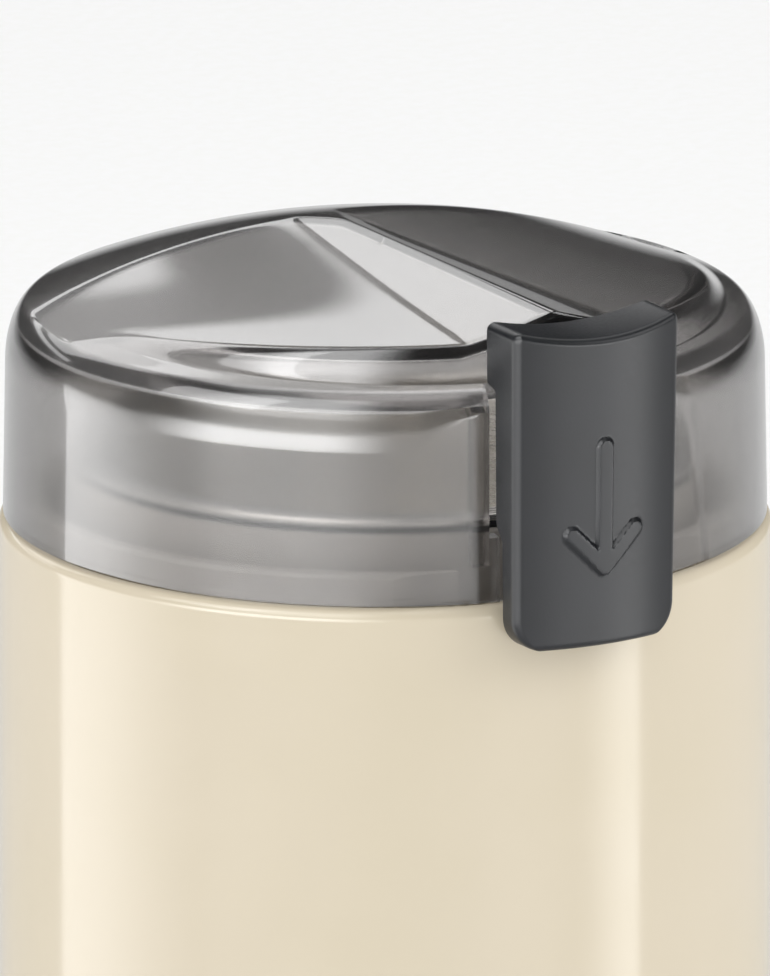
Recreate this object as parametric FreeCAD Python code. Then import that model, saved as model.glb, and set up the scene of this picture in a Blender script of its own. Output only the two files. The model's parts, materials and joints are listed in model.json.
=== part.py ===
import FreeCAD, Part
import math
import os

# Electric spice grinder: a round cream body, a smoky clear lid with a central
# ridge, and one long side button that is pressed down to run the blade.
# Millimetres. Z is up, the table is at z = 0, the motor shaft is the Z axis
# and the button faces -Y.

# Body
body_radius = 44.5
body_top = 137.4
body_foot = 1.6
shell_wall = 2.4
shell_round = 1.2
ledge_depth = 1.9
ledge_below_top = 11.4
ledge_height = 3.6

# Lid
rim_gap = 0.6
rim_step = 1.0
lid_inset = 0.57
lid_draft = 0.017
lid_wall = 2.2
crown_height = 32.4
crown_radius = 108.0
shoulder_round = 2.4
platform_inset = 3.93
panel_radius = 60.0
panel_half = 20.6
crest_height = 32.0
crest_slope = 0.3
facet_height = 30.48
facet_fall = 0.0397
facet_bow = 0.0036
facet_bow_fall = 0.00007
slot_half = 9.9
slot_lip = 1.2
slot_lip_height = 7.1
slot_flange = 1.6
slot_flange_depth = 2.2
slot_flange_start = 3.5
slot_flange_height = 17.9
lid_fit = 0.4

# Button
button_half = 10.8
button_taper = 0.3
button_proud = 5.7
button_lean = 0.7
button_bow_radius = 30.0
button_height = 37.95
button_below_rim = 4.95
button_edge = 0.9
button_bottom_round = 3.7
button_top_round = 1.3
button_skirt_low = 2.5
button_skirt_mid = 3.9
button_skirt_top = 7.8
skirt_low_height = 12.5
skirt_mid_height = 30.4
dish_depth = 1.45
arrow_proud = 0.5
arrow_stroke = 2.0
arrow_length = 14.2
arrow_barb = 5.8
arrow_below_top = 14.3
button_travel = 4.0

# Button slide, inside the lid and body
web_half = 8.0
web_height = 7.6
web_bottom = 12.0
leg_half = 5.5
leg_depth = 3.5
leg_inset = 1.6
slide_gap = 0.4
shelf_bottom = 118.4
shelf_height = 3.0
shelf_half = 3.2
push_rod_radius = 1.5
push_rod_inset = 5.5
spring_wire = 0.7
spring_radius = 2.5
spring_turns = 6.0

# Deck and bowl
deck_gap = 0.1
deck_skirt = 2.0
deck_floor = 133.0
deck_plate = 2.4
collar_height = 5.6
collar_wall = 2.4
bowl_trough = 2.63
bowl_taper = 4.2
bowl_wall = 0.8
bowl_depth = 41.1
bowl_round = 8.0
bowl_rim = 146.1
bowl_seat_gap = 0.5
bowl_seat_wall = 2.4
gasket = 0.8
post_inset = 5.7
post_radius = 3.0
seal_neck = 5.9
seal_lip = 1.8

# Blade
blade_tip_gap = 1.4
blade_width = 11.0
blade_thickness = 1.2
blade_pitch = 24.0
blade_rise = 3.2
blade_height = 6.4
hub_radius = 5.0
hub_gap = 0.5
nut_flats = 8.0
nut_height = 3.6
shaft_stub = 0.8

# Motor
shaft_radius = 3.0
running_fit = 0.05
air_gap = 0.5
core_bottom = 52.0
core_height = 26.0
armature_radius = 17.0
armature_slots = 12
slot_width = 2.2
slot_depth = 6.0
winding_reach = 7.0
winding_gap = 1.5
commutator_radius = 9.5
commutator_height = 10.0
commutator_bars = 24
bar_groove = 0.4
stator_radius = 33.0
stator_half_depth = 27.0
yoke_x = 25.5
yoke_y = 20.0
yoke_round = 27.5
pole_shoe = 3.0
pole_angle = 58.0
pole_half = 7.0
coil_half = 13.2
coil_depth = 3.3
coil_reach = 6.5
coil_gap = 0.2
coil_yoke_gap = 1.5
bearing_radius = 6.5
bearing_height = 7.5
hub_wall = 3.0
bracket_plate = 2.5
bracket_rise = 16.5
lower_bracket_drop = 20.0
arm_width = 9.0
pillar_radius = 3.4
screw_x = 22.5
screw_y = 20.5
screw_radius = 1.6
screw_gap = 0.2
screw_head = 3.0
screw_head_height = 2.0
damper = 3.0
damper_radius = 4.5
brush_width = 5.0
brush_height = 5.5
brush_gap = 0.2
brush_length = 11.3
holder_wall = 1.6
holder_length = 14.0
holder_start = 11.5
brush_spring_radius = 1.9
brush_spring_wire = 0.5
brush_spring_turns = 4.0
fan_radius = 24.0
fan_disc = 1.2
fan_blades = 10
fan_blade_height = 4.4
fan_blade_thickness = 1.1
fan_hub = 6.0
fan_gap = 2.0

# Micro switch
switch_length = 17.8
switch_depth = 6.4
switch_height = 10.2
switch_left = -13.8
switch_bottom = 84.0
lever_arm = 12.2
lever_strip = 0.5
lever_width = 4.0
lever_past = 2.5
lever_pin = 0.5
lever_pin_gap = 0.08
lever_curl = 0.5
lever_above = 1.5
plunger_arm = 4.0
plunger_radius = 1.0
plunger_gap = 0.3
plunger_length = 4.0
tip_gap = 0.5
bracket_wall = 1.6
bracket_shelf = 2.0
bracket_left = -12.0
bracket_right = 6.0
bracket_top = 112.0
tab_top = 104.0
tab_half = 4.0
pad_width = 4.0

# Base, foot ring and cord inlet
base_plate = 2.4
base_step = 0.4
base_gap = 0.2
foot_inset = 10.5
foot_width = 4.5
foot_seat = 1.0
vent_slots = 16
vent_inner = 12.0
vent_length = 13.0
vent_width = 2.4
boss_inset = 4.7
boss_radius = 3.4
boss_height = 40.0
boss_web = 3.0
boss_angles = (30.0, 150.0, 270.0)
base_screw = 1.4
base_screw_head = 2.5
base_screw_head_height = 1.6
base_screw_length = 14.0
inlet_height = 13.0
inlet_bore = 3.3
inlet_wall = 1.7
inlet_flange = 1.5
inlet_flange_width = 1.6

# Places worked out from the sizes above
shell_inner = body_radius - shell_wall
rim = body_top + rim_gap
lid_radius = body_radius - lid_inset
lid_inner = lid_radius - lid_wall
platform_radius = lid_radius - platform_inset
panel_place = math.sqrt(panel_radius ** 2 - panel_half ** 2) - math.sqrt(lid_radius ** 2 - panel_half ** 2)
button_front = body_radius + button_proud
leg_outer = shell_inner - leg_inset
push_rod_place = leg_outer - push_rod_inset
ledge_top = body_top - ledge_below_top
button_bottom = rim - button_below_rim
button_top = button_bottom + button_height
button_bow = button_bow_radius - math.sqrt(button_bow_radius ** 2 - button_half ** 2)
push_angle = button_travel / lever_arm
core_top = core_bottom + core_height
upper_plate = core_top + bracket_rise
lower_plate = core_bottom - lower_bracket_drop
bowl_floor = bowl_rim - bowl_depth
deck_outer = shell_inner - deck_gap
collar_outer = lid_inner - lid_fit
collar_inner = collar_outer - collar_wall
seat_outer = collar_inner - bowl_trough
seat_inner = seat_outer - bowl_seat_wall
bowl_radius = seat_inner - bowl_seat_gap - bowl_wall
bowl_base_radius = bowl_radius - bowl_taper
blade_length = 2 * (bowl_base_radius - blade_tip_gap)
post_place = shell_inner - post_inset
boss_place = shell_inner - boss_inset
foot_outer = body_radius - foot_inset
foot_inner = foot_outer - foot_width
switch_top = switch_bottom + switch_height
hinge_x = -lever_arm
hinge_z = switch_top + lever_above
lever_tip_top = hinge_z + lever_arm * math.tan(push_angle) + lever_strip / 2 / math.cos(push_angle)
push_rod_tip = lever_tip_top + tip_gap
blade_bottom = bowl_floor + blade_height
base_bottom = body_foot + base_step
quarter_angles = (45.0, 135.0, 225.0, 315.0)
motor_screws = [(sx * screw_x, sy * screw_y) for sx in (1, -1) for sy in (1, -1)]
tall = 400.0


def vec(x, y, z):
    return FreeCAD.Vector(x, y, z)


def box(x0, x1, y0, y1, z0, z1):
    return Part.makeBox(x1 - x0, y1 - y0, z1 - z0, vec(x0, y0, z0))


def rod(radius, z0, z1, x=0.0, y=0.0):
    return Part.makeCylinder(radius, z1 - z0, vec(x, y, z0))


def tube(outer, inner, z0, z1, x=0.0, y=0.0):
    return rod(outer, z0, z1, x, y).cut(rod(inner, z0 - 1.0, z1 + 1.0, x, y))


def turned(shape, angle):
    copy = shape.copy()
    copy.rotate(vec(0, 0, 0), vec(0, 0, 1), angle)
    return copy


def polar(radius, angle):
    return radius * math.cos(math.radians(angle)), radius * math.sin(math.radians(angle))


def fused(shapes):
    return shapes[0].fuse(shapes[1:]).removeSplitter()


def outline(points, place):
    """A closed wire through corners (a, b) or (a, b, radius), each radius a tangent arc."""
    spans = []
    count = len(points)
    for i, corner in enumerate(points):
        a, b = corner[0], corner[1]
        if len(corner) == 2:
            spans.append(((a, b), None, (a, b)))
            continue
        before = points[i - 1]
        after = points[(i + 1) % count]
        ua = math.atan2(before[1] - b, before[0] - a)
        ub = math.atan2(after[1] - b, after[0] - a)
        half = math.acos(max(-1.0, min(1.0, math.cos(ua - ub)))) / 2
        reach = corner[2] / math.tan(half)
        mid_a = math.cos(ua) + math.cos(ub)
        mid_b = math.sin(ua) + math.sin(ub)
        size = math.hypot(mid_a, mid_b)
        far = corner[2] / math.sin(half) - corner[2]
        start = (a + reach * math.cos(ua), b + reach * math.sin(ua))
        middle = (a + far * mid_a / size, b + far * mid_b / size)
        end = (a + reach * math.cos(ub), b + reach * math.sin(ub))
        spans.append((start, middle, end))
    edges = []
    for i, (start, middle, end) in enumerate(spans):
        if middle:
            edges.append(Part.Arc(place(*start), place(*middle), place(*end)).toShape())
        following = spans[(i + 1) % count][0]
        if math.dist(end, following) > 1e-6:
            edges.append(Part.LineSegment(place(*end), place(*following)).toShape())
    return Part.Wire(edges)


def revolved(points):
    """The solid of revolution about Z of a closed (radius, z) outline."""
    face = Part.Face(outline(points, lambda r, z: vec(r, 0, z)))
    return face.revolve(vec(0, 0, 0), vec(0, 0, 1), 360)


def raised(points, z0, z1):
    """A plan outline (x, y) raised from z0 to z1."""
    face = Part.Face(outline(points, lambda x, y: vec(x, y, z0)))
    return face.extrude(vec(0, 0, z1 - z0))


def side_slab(points, x0, x1):
    """A side outline (y, z) carried along X."""
    face = Part.Face(outline(points, lambda y, z: vec(x0, y, z)))
    return face.extrude(vec(x1 - x0, 0, 0))


def front_slab(points, y0, y1):
    """A front outline (x, z) carried along Y."""
    face = Part.Face(outline(points, lambda x, z: vec(x, y0, z)))
    return face.extrude(vec(0, y1 - y0, 0))


def coil(radius, wire, turns, z0, z1, x=0.0, y=0.0):
    """A helical compression spring between z0 and z1."""
    rise = z1 - z0 - wire
    helix = Part.makeHelix(rise / turns, rise, radius)
    circle = Part.Circle(vec(radius, 0, 0), vec(0, 1, 0), wire / 2).toShape()
    spring = Part.Wire(helix.Edges).makePipeShell([Part.Wire([circle])], True, True)
    spring.translate(vec(x, y, z0 + wire / 2))
    return spring


def hex_nut(flats, bore, z0, z1, x=0.0, y=0.0):
    corner = flats / math.sqrt(3)
    points = [(x + corner * math.cos(k * math.pi / 3), y + corner * math.sin(k * math.pi / 3)) for k in range(6)]
    return raised(points, z0, z1).cut(rod(bore, z0 - 1.0, z1 + 1.0, x, y))


def body_shell():
    ledge_inner = shell_inner - ledge_depth
    shell = revolved([
        (shell_inner, body_foot),
        (body_radius, body_foot, shell_round),
        (body_radius, body_top, shell_round),
        (shell_inner, body_top),
        (shell_inner, ledge_top),
        (ledge_inner, ledge_top),
        (ledge_inner, ledge_top - ledge_height + ledge_depth),
        (shell_inner, ledge_top - ledge_height),
    ])
    middle = body_radius - shell_wall / 2
    for angle in boss_angles:
        x, y = polar(boss_place, angle)
        top = base_bottom + base_plate + boss_height
        boss = rod(boss_radius, base_bottom + base_plate, top, x, y)
        web = box(boss_place, middle, -boss_web / 2, boss_web / 2, base_bottom + base_plate, top)
        shell = shell.fuse([boss, turned(web, angle)])
        hole = rod(base_screw, base_bottom, base_bottom + base_plate + base_screw_length + 1.0, x, y)
        shell = shell.cut(hole)
    pad_face = push_rod_place + switch_depth / 2 + bracket_wall
    for left in (bracket_left + 1.0, bracket_right - pad_width):
        pad = box(left, left + pad_width, -middle, -pad_face, switch_bottom, bracket_top)
        shell = shell.fuse(pad.common(rod(middle, 0, tall)))
    notch = leg_half + 2.0
    shell = shell.cut(box(-notch, notch, -shell_inner, -ledge_inner + 2.0, ledge_top - ledge_height, ledge_top + 0.1))
    return shell.cut(inlet_hole()).removeSplitter()


def inlet_hole():
    start = vec(0, shell_inner - shell_wall, inlet_height)
    return Part.makeCylinder(inlet_bore + inlet_wall, 3 * shell_wall, start, vec(0, 1, 0))


def base():
    top = base_bottom + base_plate
    plate = revolved([
        (0, base_bottom),
        (shell_inner - base_gap, base_bottom, 0.6),
        (shell_inner - base_gap, top),
        (0, top),
    ])
    cuts = [tube(foot_outer, foot_inner, base_bottom - 1.0, base_bottom + foot_seat)]
    for k in range(vent_slots):
        half = vent_width / 2
        end = vent_inner + vent_length
        slot = raised(
            [(vent_inner, -half, half * 0.99), (end, -half, half * 0.99), (end, half, half * 0.99),
             (vent_inner, half, half * 0.99)],
            base_bottom - 1.0,
            top + 1.0,
        )
        cuts.append(turned(slot, k * 360.0 / vent_slots))
    for angle in boss_angles:
        x, y = polar(boss_place, angle)
        cuts.append(rod(base_screw + screw_gap, base_bottom - 1.0, top + 1.0, x, y))
        cuts.append(rod(base_screw_head + screw_gap, base_bottom - 1.0, base_bottom + base_screw_head_height, x, y))
    return plate.cut(cuts)


def base_screws():
    screws = []
    for angle in boss_angles:
        x, y = polar(boss_place, angle)
        seat = base_bottom + base_screw_head_height
        head = rod(base_screw_head, base_bottom, seat, x, y)
        cross = [box(x - 1.6, x + 1.6, y - 0.35, y + 0.35, base_bottom - 1.0, base_bottom + 0.9)]
        cross.append(box(x - 0.35, x + 0.35, y - 1.6, y + 1.6, base_bottom - 1.0, base_bottom + 0.9))
        screws.append(head.fuse(rod(base_screw, seat, seat + base_screw_length, x, y)).cut(cross))
    return Part.makeCompound(screws)


def foot_ring():
    seat = base_bottom + foot_seat
    return revolved([(foot_inner, 0, 0.8), (foot_outer, 0, 0.8), (foot_outer, seat), (foot_inner, seat)])


def inlet_bush():
    """A rubber bush with a flange on each side of the rear wall."""
    neck = inlet_bore + inlet_wall
    flange = neck + inlet_flange_width
    inside = shell_inner - inlet_flange
    outside = body_radius + inlet_flange
    profile = [
        (inlet_bore, inside),
        (flange, inside),
        (flange, shell_inner - 0.8),
        (neck, shell_inner - 0.8),
        (neck, body_radius - 0.2),
        (flange, body_radius - 0.2),
        (flange, outside, 0.9),
        (inlet_bore, outside, 0.5),
    ]
    face = Part.Face(outline(profile, lambda r, y: vec(r, y, 0)))
    bush = face.revolve(vec(0, 0, 0), vec(0, 1, 0), 360)
    bush.translate(vec(0, 0, inlet_height))
    wall = tube(body_radius, shell_inner, 0, inlet_height + 3 * flange)
    return bush.cut(wall.cut(inlet_hole()))


def top_deck():
    seat_top = bowl_rim - bowl_wall - gasket
    floor_top = deck_floor + deck_plate
    deck = revolved([
        (seat_inner, deck_floor),
        (deck_outer - deck_skirt, deck_floor),
        (deck_outer - deck_skirt, ledge_top),
        (deck_outer, ledge_top),
        (deck_outer, body_top - 0.8, 0.4),
        (collar_outer, body_top - 0.8),
        (collar_outer, floor_top + collar_height, 0.7),
        (collar_inner, floor_top + collar_height, 0.7),
        (collar_inner, floor_top, 0.8),
        (seat_outer, floor_top, 0.8),
        (seat_outer, seat_top, 0.5),
        (seat_inner, seat_top),
    ])
    post_bottom = upper_plate + bracket_plate + damper
    for angle in quarter_angles:
        x, y = polar(post_place, angle)
        deck = deck.fuse(rod(post_radius, post_bottom, deck_floor + 1.0, x, y))
        deck = deck.cut(rod(base_screw, post_bottom - 1.0, post_bottom + 9.0, x, y))
    beside_panel = rod(deck_outer, body_top - 0.8, tall)
    beside_panel = beside_panel.cut(rod(panel_radius - lid_wall - lid_fit, 0, tall, 0, panel_place))
    notch = slot_half + slot_flange + 1.0
    deck = deck.cut([beside_panel, box(-notch, notch, -tall, -seat_outer, body_top - 0.8, tall)])
    half = leg_half + slide_gap
    guide = box(-half, half, -leg_outer - slide_gap, -leg_outer + leg_depth + slide_gap, ledge_top - 1.0, tall)
    return deck.cut(guide).removeSplitter()


def grinding_bowl():
    flange = seat_outer - 0.1
    return revolved([
        (seal_neck, bowl_floor),
        (bowl_base_radius, bowl_floor, bowl_round),
        (bowl_radius, bowl_rim, bowl_wall),
        (flange, bowl_rim, 0.3),
        (flange, bowl_rim - bowl_wall),
        (bowl_radius + bowl_wall, bowl_rim - bowl_wall, 0.3),
        (bowl_base_radius + bowl_wall, bowl_floor - bowl_wall, bowl_round + bowl_wall),
        (seal_neck, bowl_floor - bowl_wall),
    ])


def bowl_gasket():
    seat = bowl_rim - bowl_wall
    return tube(seat_outer - 0.2, seat_inner, seat - gasket, seat)


def shaft_seal():
    bore = shaft_radius + 0.3
    under = bowl_floor - bowl_wall
    return revolved([
        (bore, under - 1.2),
        (seal_neck + 2.4, under - 1.2, 0.4),
        (seal_neck + 2.4, under),
        (seal_neck, under),
        (seal_neck, bowl_floor),
        (seal_neck + 1.4, bowl_floor),
        (seal_neck + 0.2, bowl_floor + seal_lip, 0.6),
        (bore, bowl_floor + seal_lip),
    ])


def under_facets(inset):
    """All that lies under the two scooped facets: a bowed section that flattens towards the button."""
    span = 60.0
    low = rim
    wires = []
    for u in (-span, span):
        level = rim + facet_height - inset - facet_fall * u
        sag = (facet_bow - facet_bow_fall * u) * span * span
        bow = Part.BezierCurve()
        bow.setPoles([vec(-span, -u, level - sag), vec(0, -u, level + sag), vec(span, -u, level - sag)])
        sides = Part.makePolygon([
            vec(span, -u, level - sag), vec(span, -u, low), vec(-span, -u, low), vec(-span, -u, level - sag)
        ])
        wires.append(Part.Wire([bow.toShape()] + sides.Edges))
    return Part.makeLoft(wires, True, True)


def lid_form(inset, bottom):
    """The lid's outer form moved inward by inset: drafted wall, flatter front panel, crown, platform and ridge."""
    height = crown_height + 10.0
    foot = lid_radius - inset
    wall = Part.makeCone(foot + lid_draft * (rim - bottom), foot - lid_draft * height, height + rim - bottom,
                         vec(0, 0, bottom))
    crown = Part.makeSphere(crown_radius - inset, vec(0, 0, rim + crown_height - crown_radius))
    dome = wall.common(crown)
    shoulder = max(shoulder_round - inset, 0.6)
    edges = [e for e in dome.Edges if e.BoundBox.ZMin > rim + crown_height / 2 and e.BoundBox.XLength > lid_radius]
    dome = dome.makeFillet(shoulder, edges)
    platform = rod(platform_radius - inset, bottom, rim + height).common(box(-tall, tall, -tall, 0, 0, tall))
    span = 30.0
    crest = rim + crest_height - inset
    ridge = front_slab(
        [(0, crest), (span, crest - crest_slope * span), (span, rim), (-span, rim),
         (-span, crest - crest_slope * span)],
        -tall / 4,
        tall / 4,
    )
    under = under_facets(inset).fuse([ridge, rod(body_radius * 2, bottom, rim)])
    form = dome.fuse(platform).common(under).removeSplitter()
    return form.common(rod(panel_radius - inset, bottom - 1.0, rim + height, 0, panel_place))


def lid():
    shell = lid_form(0.0, body_top)
    flanges = []
    low = rim + slot_flange_start
    inner_panel = panel_radius - panel_place - lid_wall
    for side in (-1, 1):
        outer = side * (slot_half + slot_flange)
        flanges.append(box(min(side * slot_half, outer), max(side * slot_half, outer),
                           -lid_radius, slot_flange_depth - inner_panel, low, low + slot_flange_height))
    shell = shell.cut(lid_form(lid_wall, body_top - 5.0))
    shell = shell.fuse([f.common(lid_form(0.3, body_top)) for f in flanges])
    step = tube(body_radius * 2, lid_radius - rim_step, body_top - 1.0, rim)
    slot_back = slot_flange_depth - inner_panel
    lip = slot_half - slot_lip
    lip_top = rim + slot_lip_height
    slots = [box(-slot_half, slot_half, -tall, -platform_radius, lip_top, tall)]
    slots.append(box(-slot_half, slot_half, -tall, slot_back, lip_top, low + slot_flange_height))
    slots.append(box(-lip, lip, -tall, slot_back, body_top - 1.0, lip_top + 1.0))
    return shell.cut([step] + slots).removeSplitter()


def button_section(z, half, front, back):
    """A plan section of the button: flat back, bowed front and rounded front corners."""
    side = front - button_bow_radius + math.sqrt(button_bow_radius ** 2 - half ** 2)
    corner = button_edge
    start = vec(-half, -(side - corner), z)
    end = vec(half, -(side - corner), z)
    inset_left = vec(-half + corner, -(side + 0.25 * corner), z)
    inset_right = vec(half - corner, -(side + 0.25 * corner), z)
    turn = corner * (1 - math.sqrt(0.5))
    left_mid = vec(-half + turn * 0.9, -(side - turn * 0.7), z)
    right_mid = vec(half - turn * 0.9, -(side - turn * 0.7), z)
    edges = [
        Part.LineSegment(vec(-half, -back, z), start).toShape(),
        Part.Arc(start, left_mid, inset_left).toShape(),
        Part.Arc(inset_left, vec(0, -front, z), inset_right).toShape(),
        Part.Arc(inset_right, right_mid, end).toShape(),
        Part.LineSegment(end, vec(half, -back, z)).toShape(),
        Part.LineSegment(vec(half, -back, z), vec(-half, -back, z)).toShape(),
    ]
    return Part.Wire(edges)


def arrow(proud):
    """A down arrow standing out of the button's front: a shaft and two barbs with round ends."""
    half = arrow_stroke / 2
    top = button_top - arrow_below_top
    tip = top - arrow_length
    front = button_front + button_lean + 1.0
    root = button_front - 1.0
    shaft = box(-half, half, -front, -root, tip, top)
    shaft = shaft.fuse(Part.makeCylinder(half, front - root, vec(0, -front, top), vec(0, 1, 0)))
    barb = box(-half, half, -front, -root, 0, arrow_barb)
    barb = barb.fuse([
        Part.makeCylinder(half, front - root, vec(0, -front, arrow_barb), vec(0, 1, 0)),
        Part.makeCylinder(half, front - root, vec(0, -front, 0), vec(0, 1, 0)),
    ])
    barbs = []
    for side in (-1, 1):
        copy = barb.copy()
        copy.rotate(vec(0, 0, 0), vec(0, 1, 0), side * 45.0)
        copy.translate(vec(0, 0, tip))
        barbs.append(copy)
    mark = shaft.fuse(barbs)
    return mark.common(button_block(proud))


def button_block(grow):
    bottom = button_section(button_bottom, button_half - button_taper + grow, button_front + grow,
                            button_front - button_skirt_top)
    top = button_section(button_top, button_half + grow, button_front + button_lean + grow,
                         button_front - button_skirt_top)
    return Part.makeLoft([bottom, top], True, True)


def press_button():
    block = button_block(0.0)
    wide = button_half + 1.0
    outline_low = button_half - button_taper
    rounded = front_slab(
        [(-outline_low, button_bottom, button_bottom_round), (outline_low, button_bottom, button_bottom_round),
         (button_half, button_top, button_top_round), (-button_half, button_top, button_top_round)],
        -tall / 4, tall / 4,
    )
    block = block.common(rounded)
    edge = button_front - button_bow
    low = edge - button_skirt_low
    mid = edge - button_skirt_mid
    back = button_front - button_skirt_top
    z_low = button_bottom + skirt_low_height
    z_mid = button_bottom + skirt_mid_height
    relief = side_slab(
        [(-back + 5.0, button_bottom - 1.0), (-low, button_bottom - 1.0), (-low, z_low, 1.5), (-mid, z_low + 2.0, 1.5),
         (-mid, z_mid - 2.0, 1.2), (-back, z_mid, 0.5), (-back + 5.0, z_mid)],
        -wide, wide,
    )
    block = block.cut(relief)
    dish_radius = (button_half ** 2 + dish_depth ** 2) / (2 * dish_depth)
    dish = Part.makeCylinder(dish_radius, tall / 4, vec(0, 0, button_top + dish_radius - dish_depth), vec(0, -1, 0))
    block = block.cut(dish)
    web = box(-web_half, web_half, -edge + 1.5, -leg_outer, rim + web_bottom, rim + web_bottom + web_height)
    hollow = box(-web_half + 2.0, web_half - 2.0, -edge + button_skirt_mid - 0.1, -leg_outer - 1.6,
                 rim + web_bottom - 1.0, rim + web_bottom + web_height - 2.0)
    return block.fuse([web.cut(hollow), arrow(arrow_proud)]).removeSplitter()


def button_slide():
    leg_top = rim + web_bottom + web_height
    leg_inner = leg_outer - leg_depth
    leg = side_slab(
        [(-leg_outer, shelf_bottom), (-push_rod_place + 2.8, shelf_bottom), (-push_rod_place + 2.8, shelf_bottom + shelf_height),
         (-leg_inner, shelf_bottom + shelf_height, 1.5), (-leg_inner, leg_top, 1.0), (-leg_outer, leg_top)],
        -shelf_half, shelf_half,
    )
    blade = box(-leg_half, leg_half, -leg_outer, -leg_inner, shelf_bottom + shelf_height, leg_top)
    lighten = box(-leg_half + 1.6, leg_half - 1.6, -leg_inner - 2.0, -leg_inner + 1.0, deck_floor + 14.0, leg_top - 2.0)
    tip = push_rod_tip + push_rod_radius
    pin = rod(push_rod_radius, tip, shelf_bottom + 0.5, 0, -push_rod_place)
    ball = Part.makeSphere(push_rod_radius, vec(0, -push_rod_place, tip))
    return fused([leg, blade.cut(lighten), pin, ball])


def return_spring():
    return coil(spring_radius, spring_wire, spring_turns, tab_top, shelf_bottom, 0, -push_rod_place)


def switch_bracket():
    near = push_rod_place - switch_depth / 2
    far = push_rod_place + switch_depth / 2
    plate = box(bracket_left, bracket_right, -far - bracket_wall, -far, switch_bottom - bracket_shelf, bracket_top)
    shelf = box(switch_left, switch_left + switch_length, -far, -near, switch_bottom - bracket_shelf, switch_bottom)
    tab = box(-tab_half, tab_half, -far, -near, tab_top - bracket_shelf, tab_top)
    hole = rod(push_rod_radius + 0.1, tab_top - bracket_shelf - 1.0, tab_top + 1.0, 0, -push_rod_place)
    return fused([plate, shelf, tab]).cut(hole)


def micro_switch():
    near = push_rod_place - switch_depth / 2
    far = push_rod_place + switch_depth / 2
    right = switch_left + switch_length
    case = front_slab(
        [(switch_left, switch_bottom, 0.5), (right, switch_bottom, 0.5), (right, switch_top, 0.5),
         (switch_left, switch_top, 0.5)],
        -far, -near,
    )
    ears = []
    for y in (-far, -near - 0.9):
        ears.append(box(hinge_x - 1.2, hinge_x + 1.2, y, y + 0.9, switch_top - 1.0, hinge_z + 0.9))
    pin = Part.makeCylinder(lever_pin, switch_depth, vec(hinge_x, -far, hinge_z), vec(0, 1, 0))
    terminals = []
    for k in range(3):
        x = switch_left + 3.0 + k * (switch_length - 6.0) / 2
        terminals.append(box(x - 1.2, x + 1.2, -near - 0.5, -near + 3.2, switch_bottom + 2.0, switch_bottom + 2.5))
    bore = rod(plunger_radius + lever_pin_gap, switch_top - plunger_length - 1.5, switch_top + 1.0,
               hinge_x + plunger_arm, -push_rod_place)
    return fused([case, pin] + ears + terminals).cut(bore)


def switch_lever():
    """A spring strip with a curl round its pin, at the angle it has when the button is up."""
    half = lever_width / 2
    y0 = -push_rod_place - half
    outer = lever_pin + lever_pin_gap + lever_curl
    curl = Part.makeCylinder(outer, lever_width, vec(0, y0, 0), vec(0, 1, 0))
    strip = box(0, lever_arm + lever_past, y0, y0 + lever_width, -lever_strip / 2, lever_strip / 2)
    hole = Part.makeCylinder(lever_pin + lever_pin_gap, 2 * lever_width, vec(0, y0 - half, 0), vec(0, 1, 0))
    lever = fused([curl, strip]).cut(hole)
    lever.rotate(vec(0, 0, 0), vec(0, 1, 0), -math.degrees(push_angle))
    lever.translate(vec(hinge_x, 0, hinge_z))
    return lever


def switch_plunger():
    under = hinge_z + plunger_arm * math.tan(push_angle) - lever_strip / 2 / math.cos(push_angle)
    x = hinge_x + plunger_arm
    ball_z = under - plunger_gap - plunger_radius
    pin = rod(plunger_radius, ball_z - plunger_length, ball_z, x, -push_rod_place)
    return fused([pin, Part.makeSphere(plunger_radius, vec(x, -push_rod_place, ball_z))])


def motor_shaft():
    top = blade_bottom + blade_thickness + nut_height + shaft_stub
    shaft = revolved([(0, lower_plate - bearing_height + 0.1), (shaft_radius, lower_plate - bearing_height + 0.1, 0.4),
                      (shaft_radius, top, 0.6), (0, top)])
    return shaft


def bearing(z0):
    bore = shaft_radius + running_fit
    return revolved([(bore, z0, 0.2), (bearing_radius, z0), (bearing_radius, z0 + bearing_height),
                     (bore, z0 + bearing_height, 0.2)])


def bracket_arms(z0, z1, reach):
    arms = []
    for angle in quarter_angles:
        arm = box(0, reach, -arm_width / 2, arm_width / 2, z0, z1)
        arms.append(turned(arm.fuse(rod(arm_width / 2, z0, z1, reach, 0)), angle))
    return arms


def upper_bracket():
    top = upper_plate + bracket_plate
    hub = rod(bearing_radius + hub_wall, upper_plate, upper_plate + bearing_height)
    disc = rod(screw_y, upper_plate, top)
    pillars = [rod(pillar_radius, core_top, top, x, y) for x, y in motor_screws]
    bracket = fused([hub, disc] + bracket_arms(upper_plate, top, post_place) + pillars)
    cuts = [rod(bearing_radius, upper_plate - 1.0, top + bearing_height)]
    cuts += [rod(screw_radius + screw_gap, core_top - 1.0, top + 1.0, x, y) for x, y in motor_screws]
    cuts += [rod(base_screw + screw_gap, upper_plate - 1.0, top + 1.0, *polar(post_place, a)) for a in quarter_angles]
    middle = (bearing_radius + hub_wall + screw_y) / 2
    cuts += [rod(2.4, upper_plate - 1.0, top + 1.0, *polar(middle, a - 45.0)) for a in quarter_angles]
    return bracket.cut(cuts)


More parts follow.
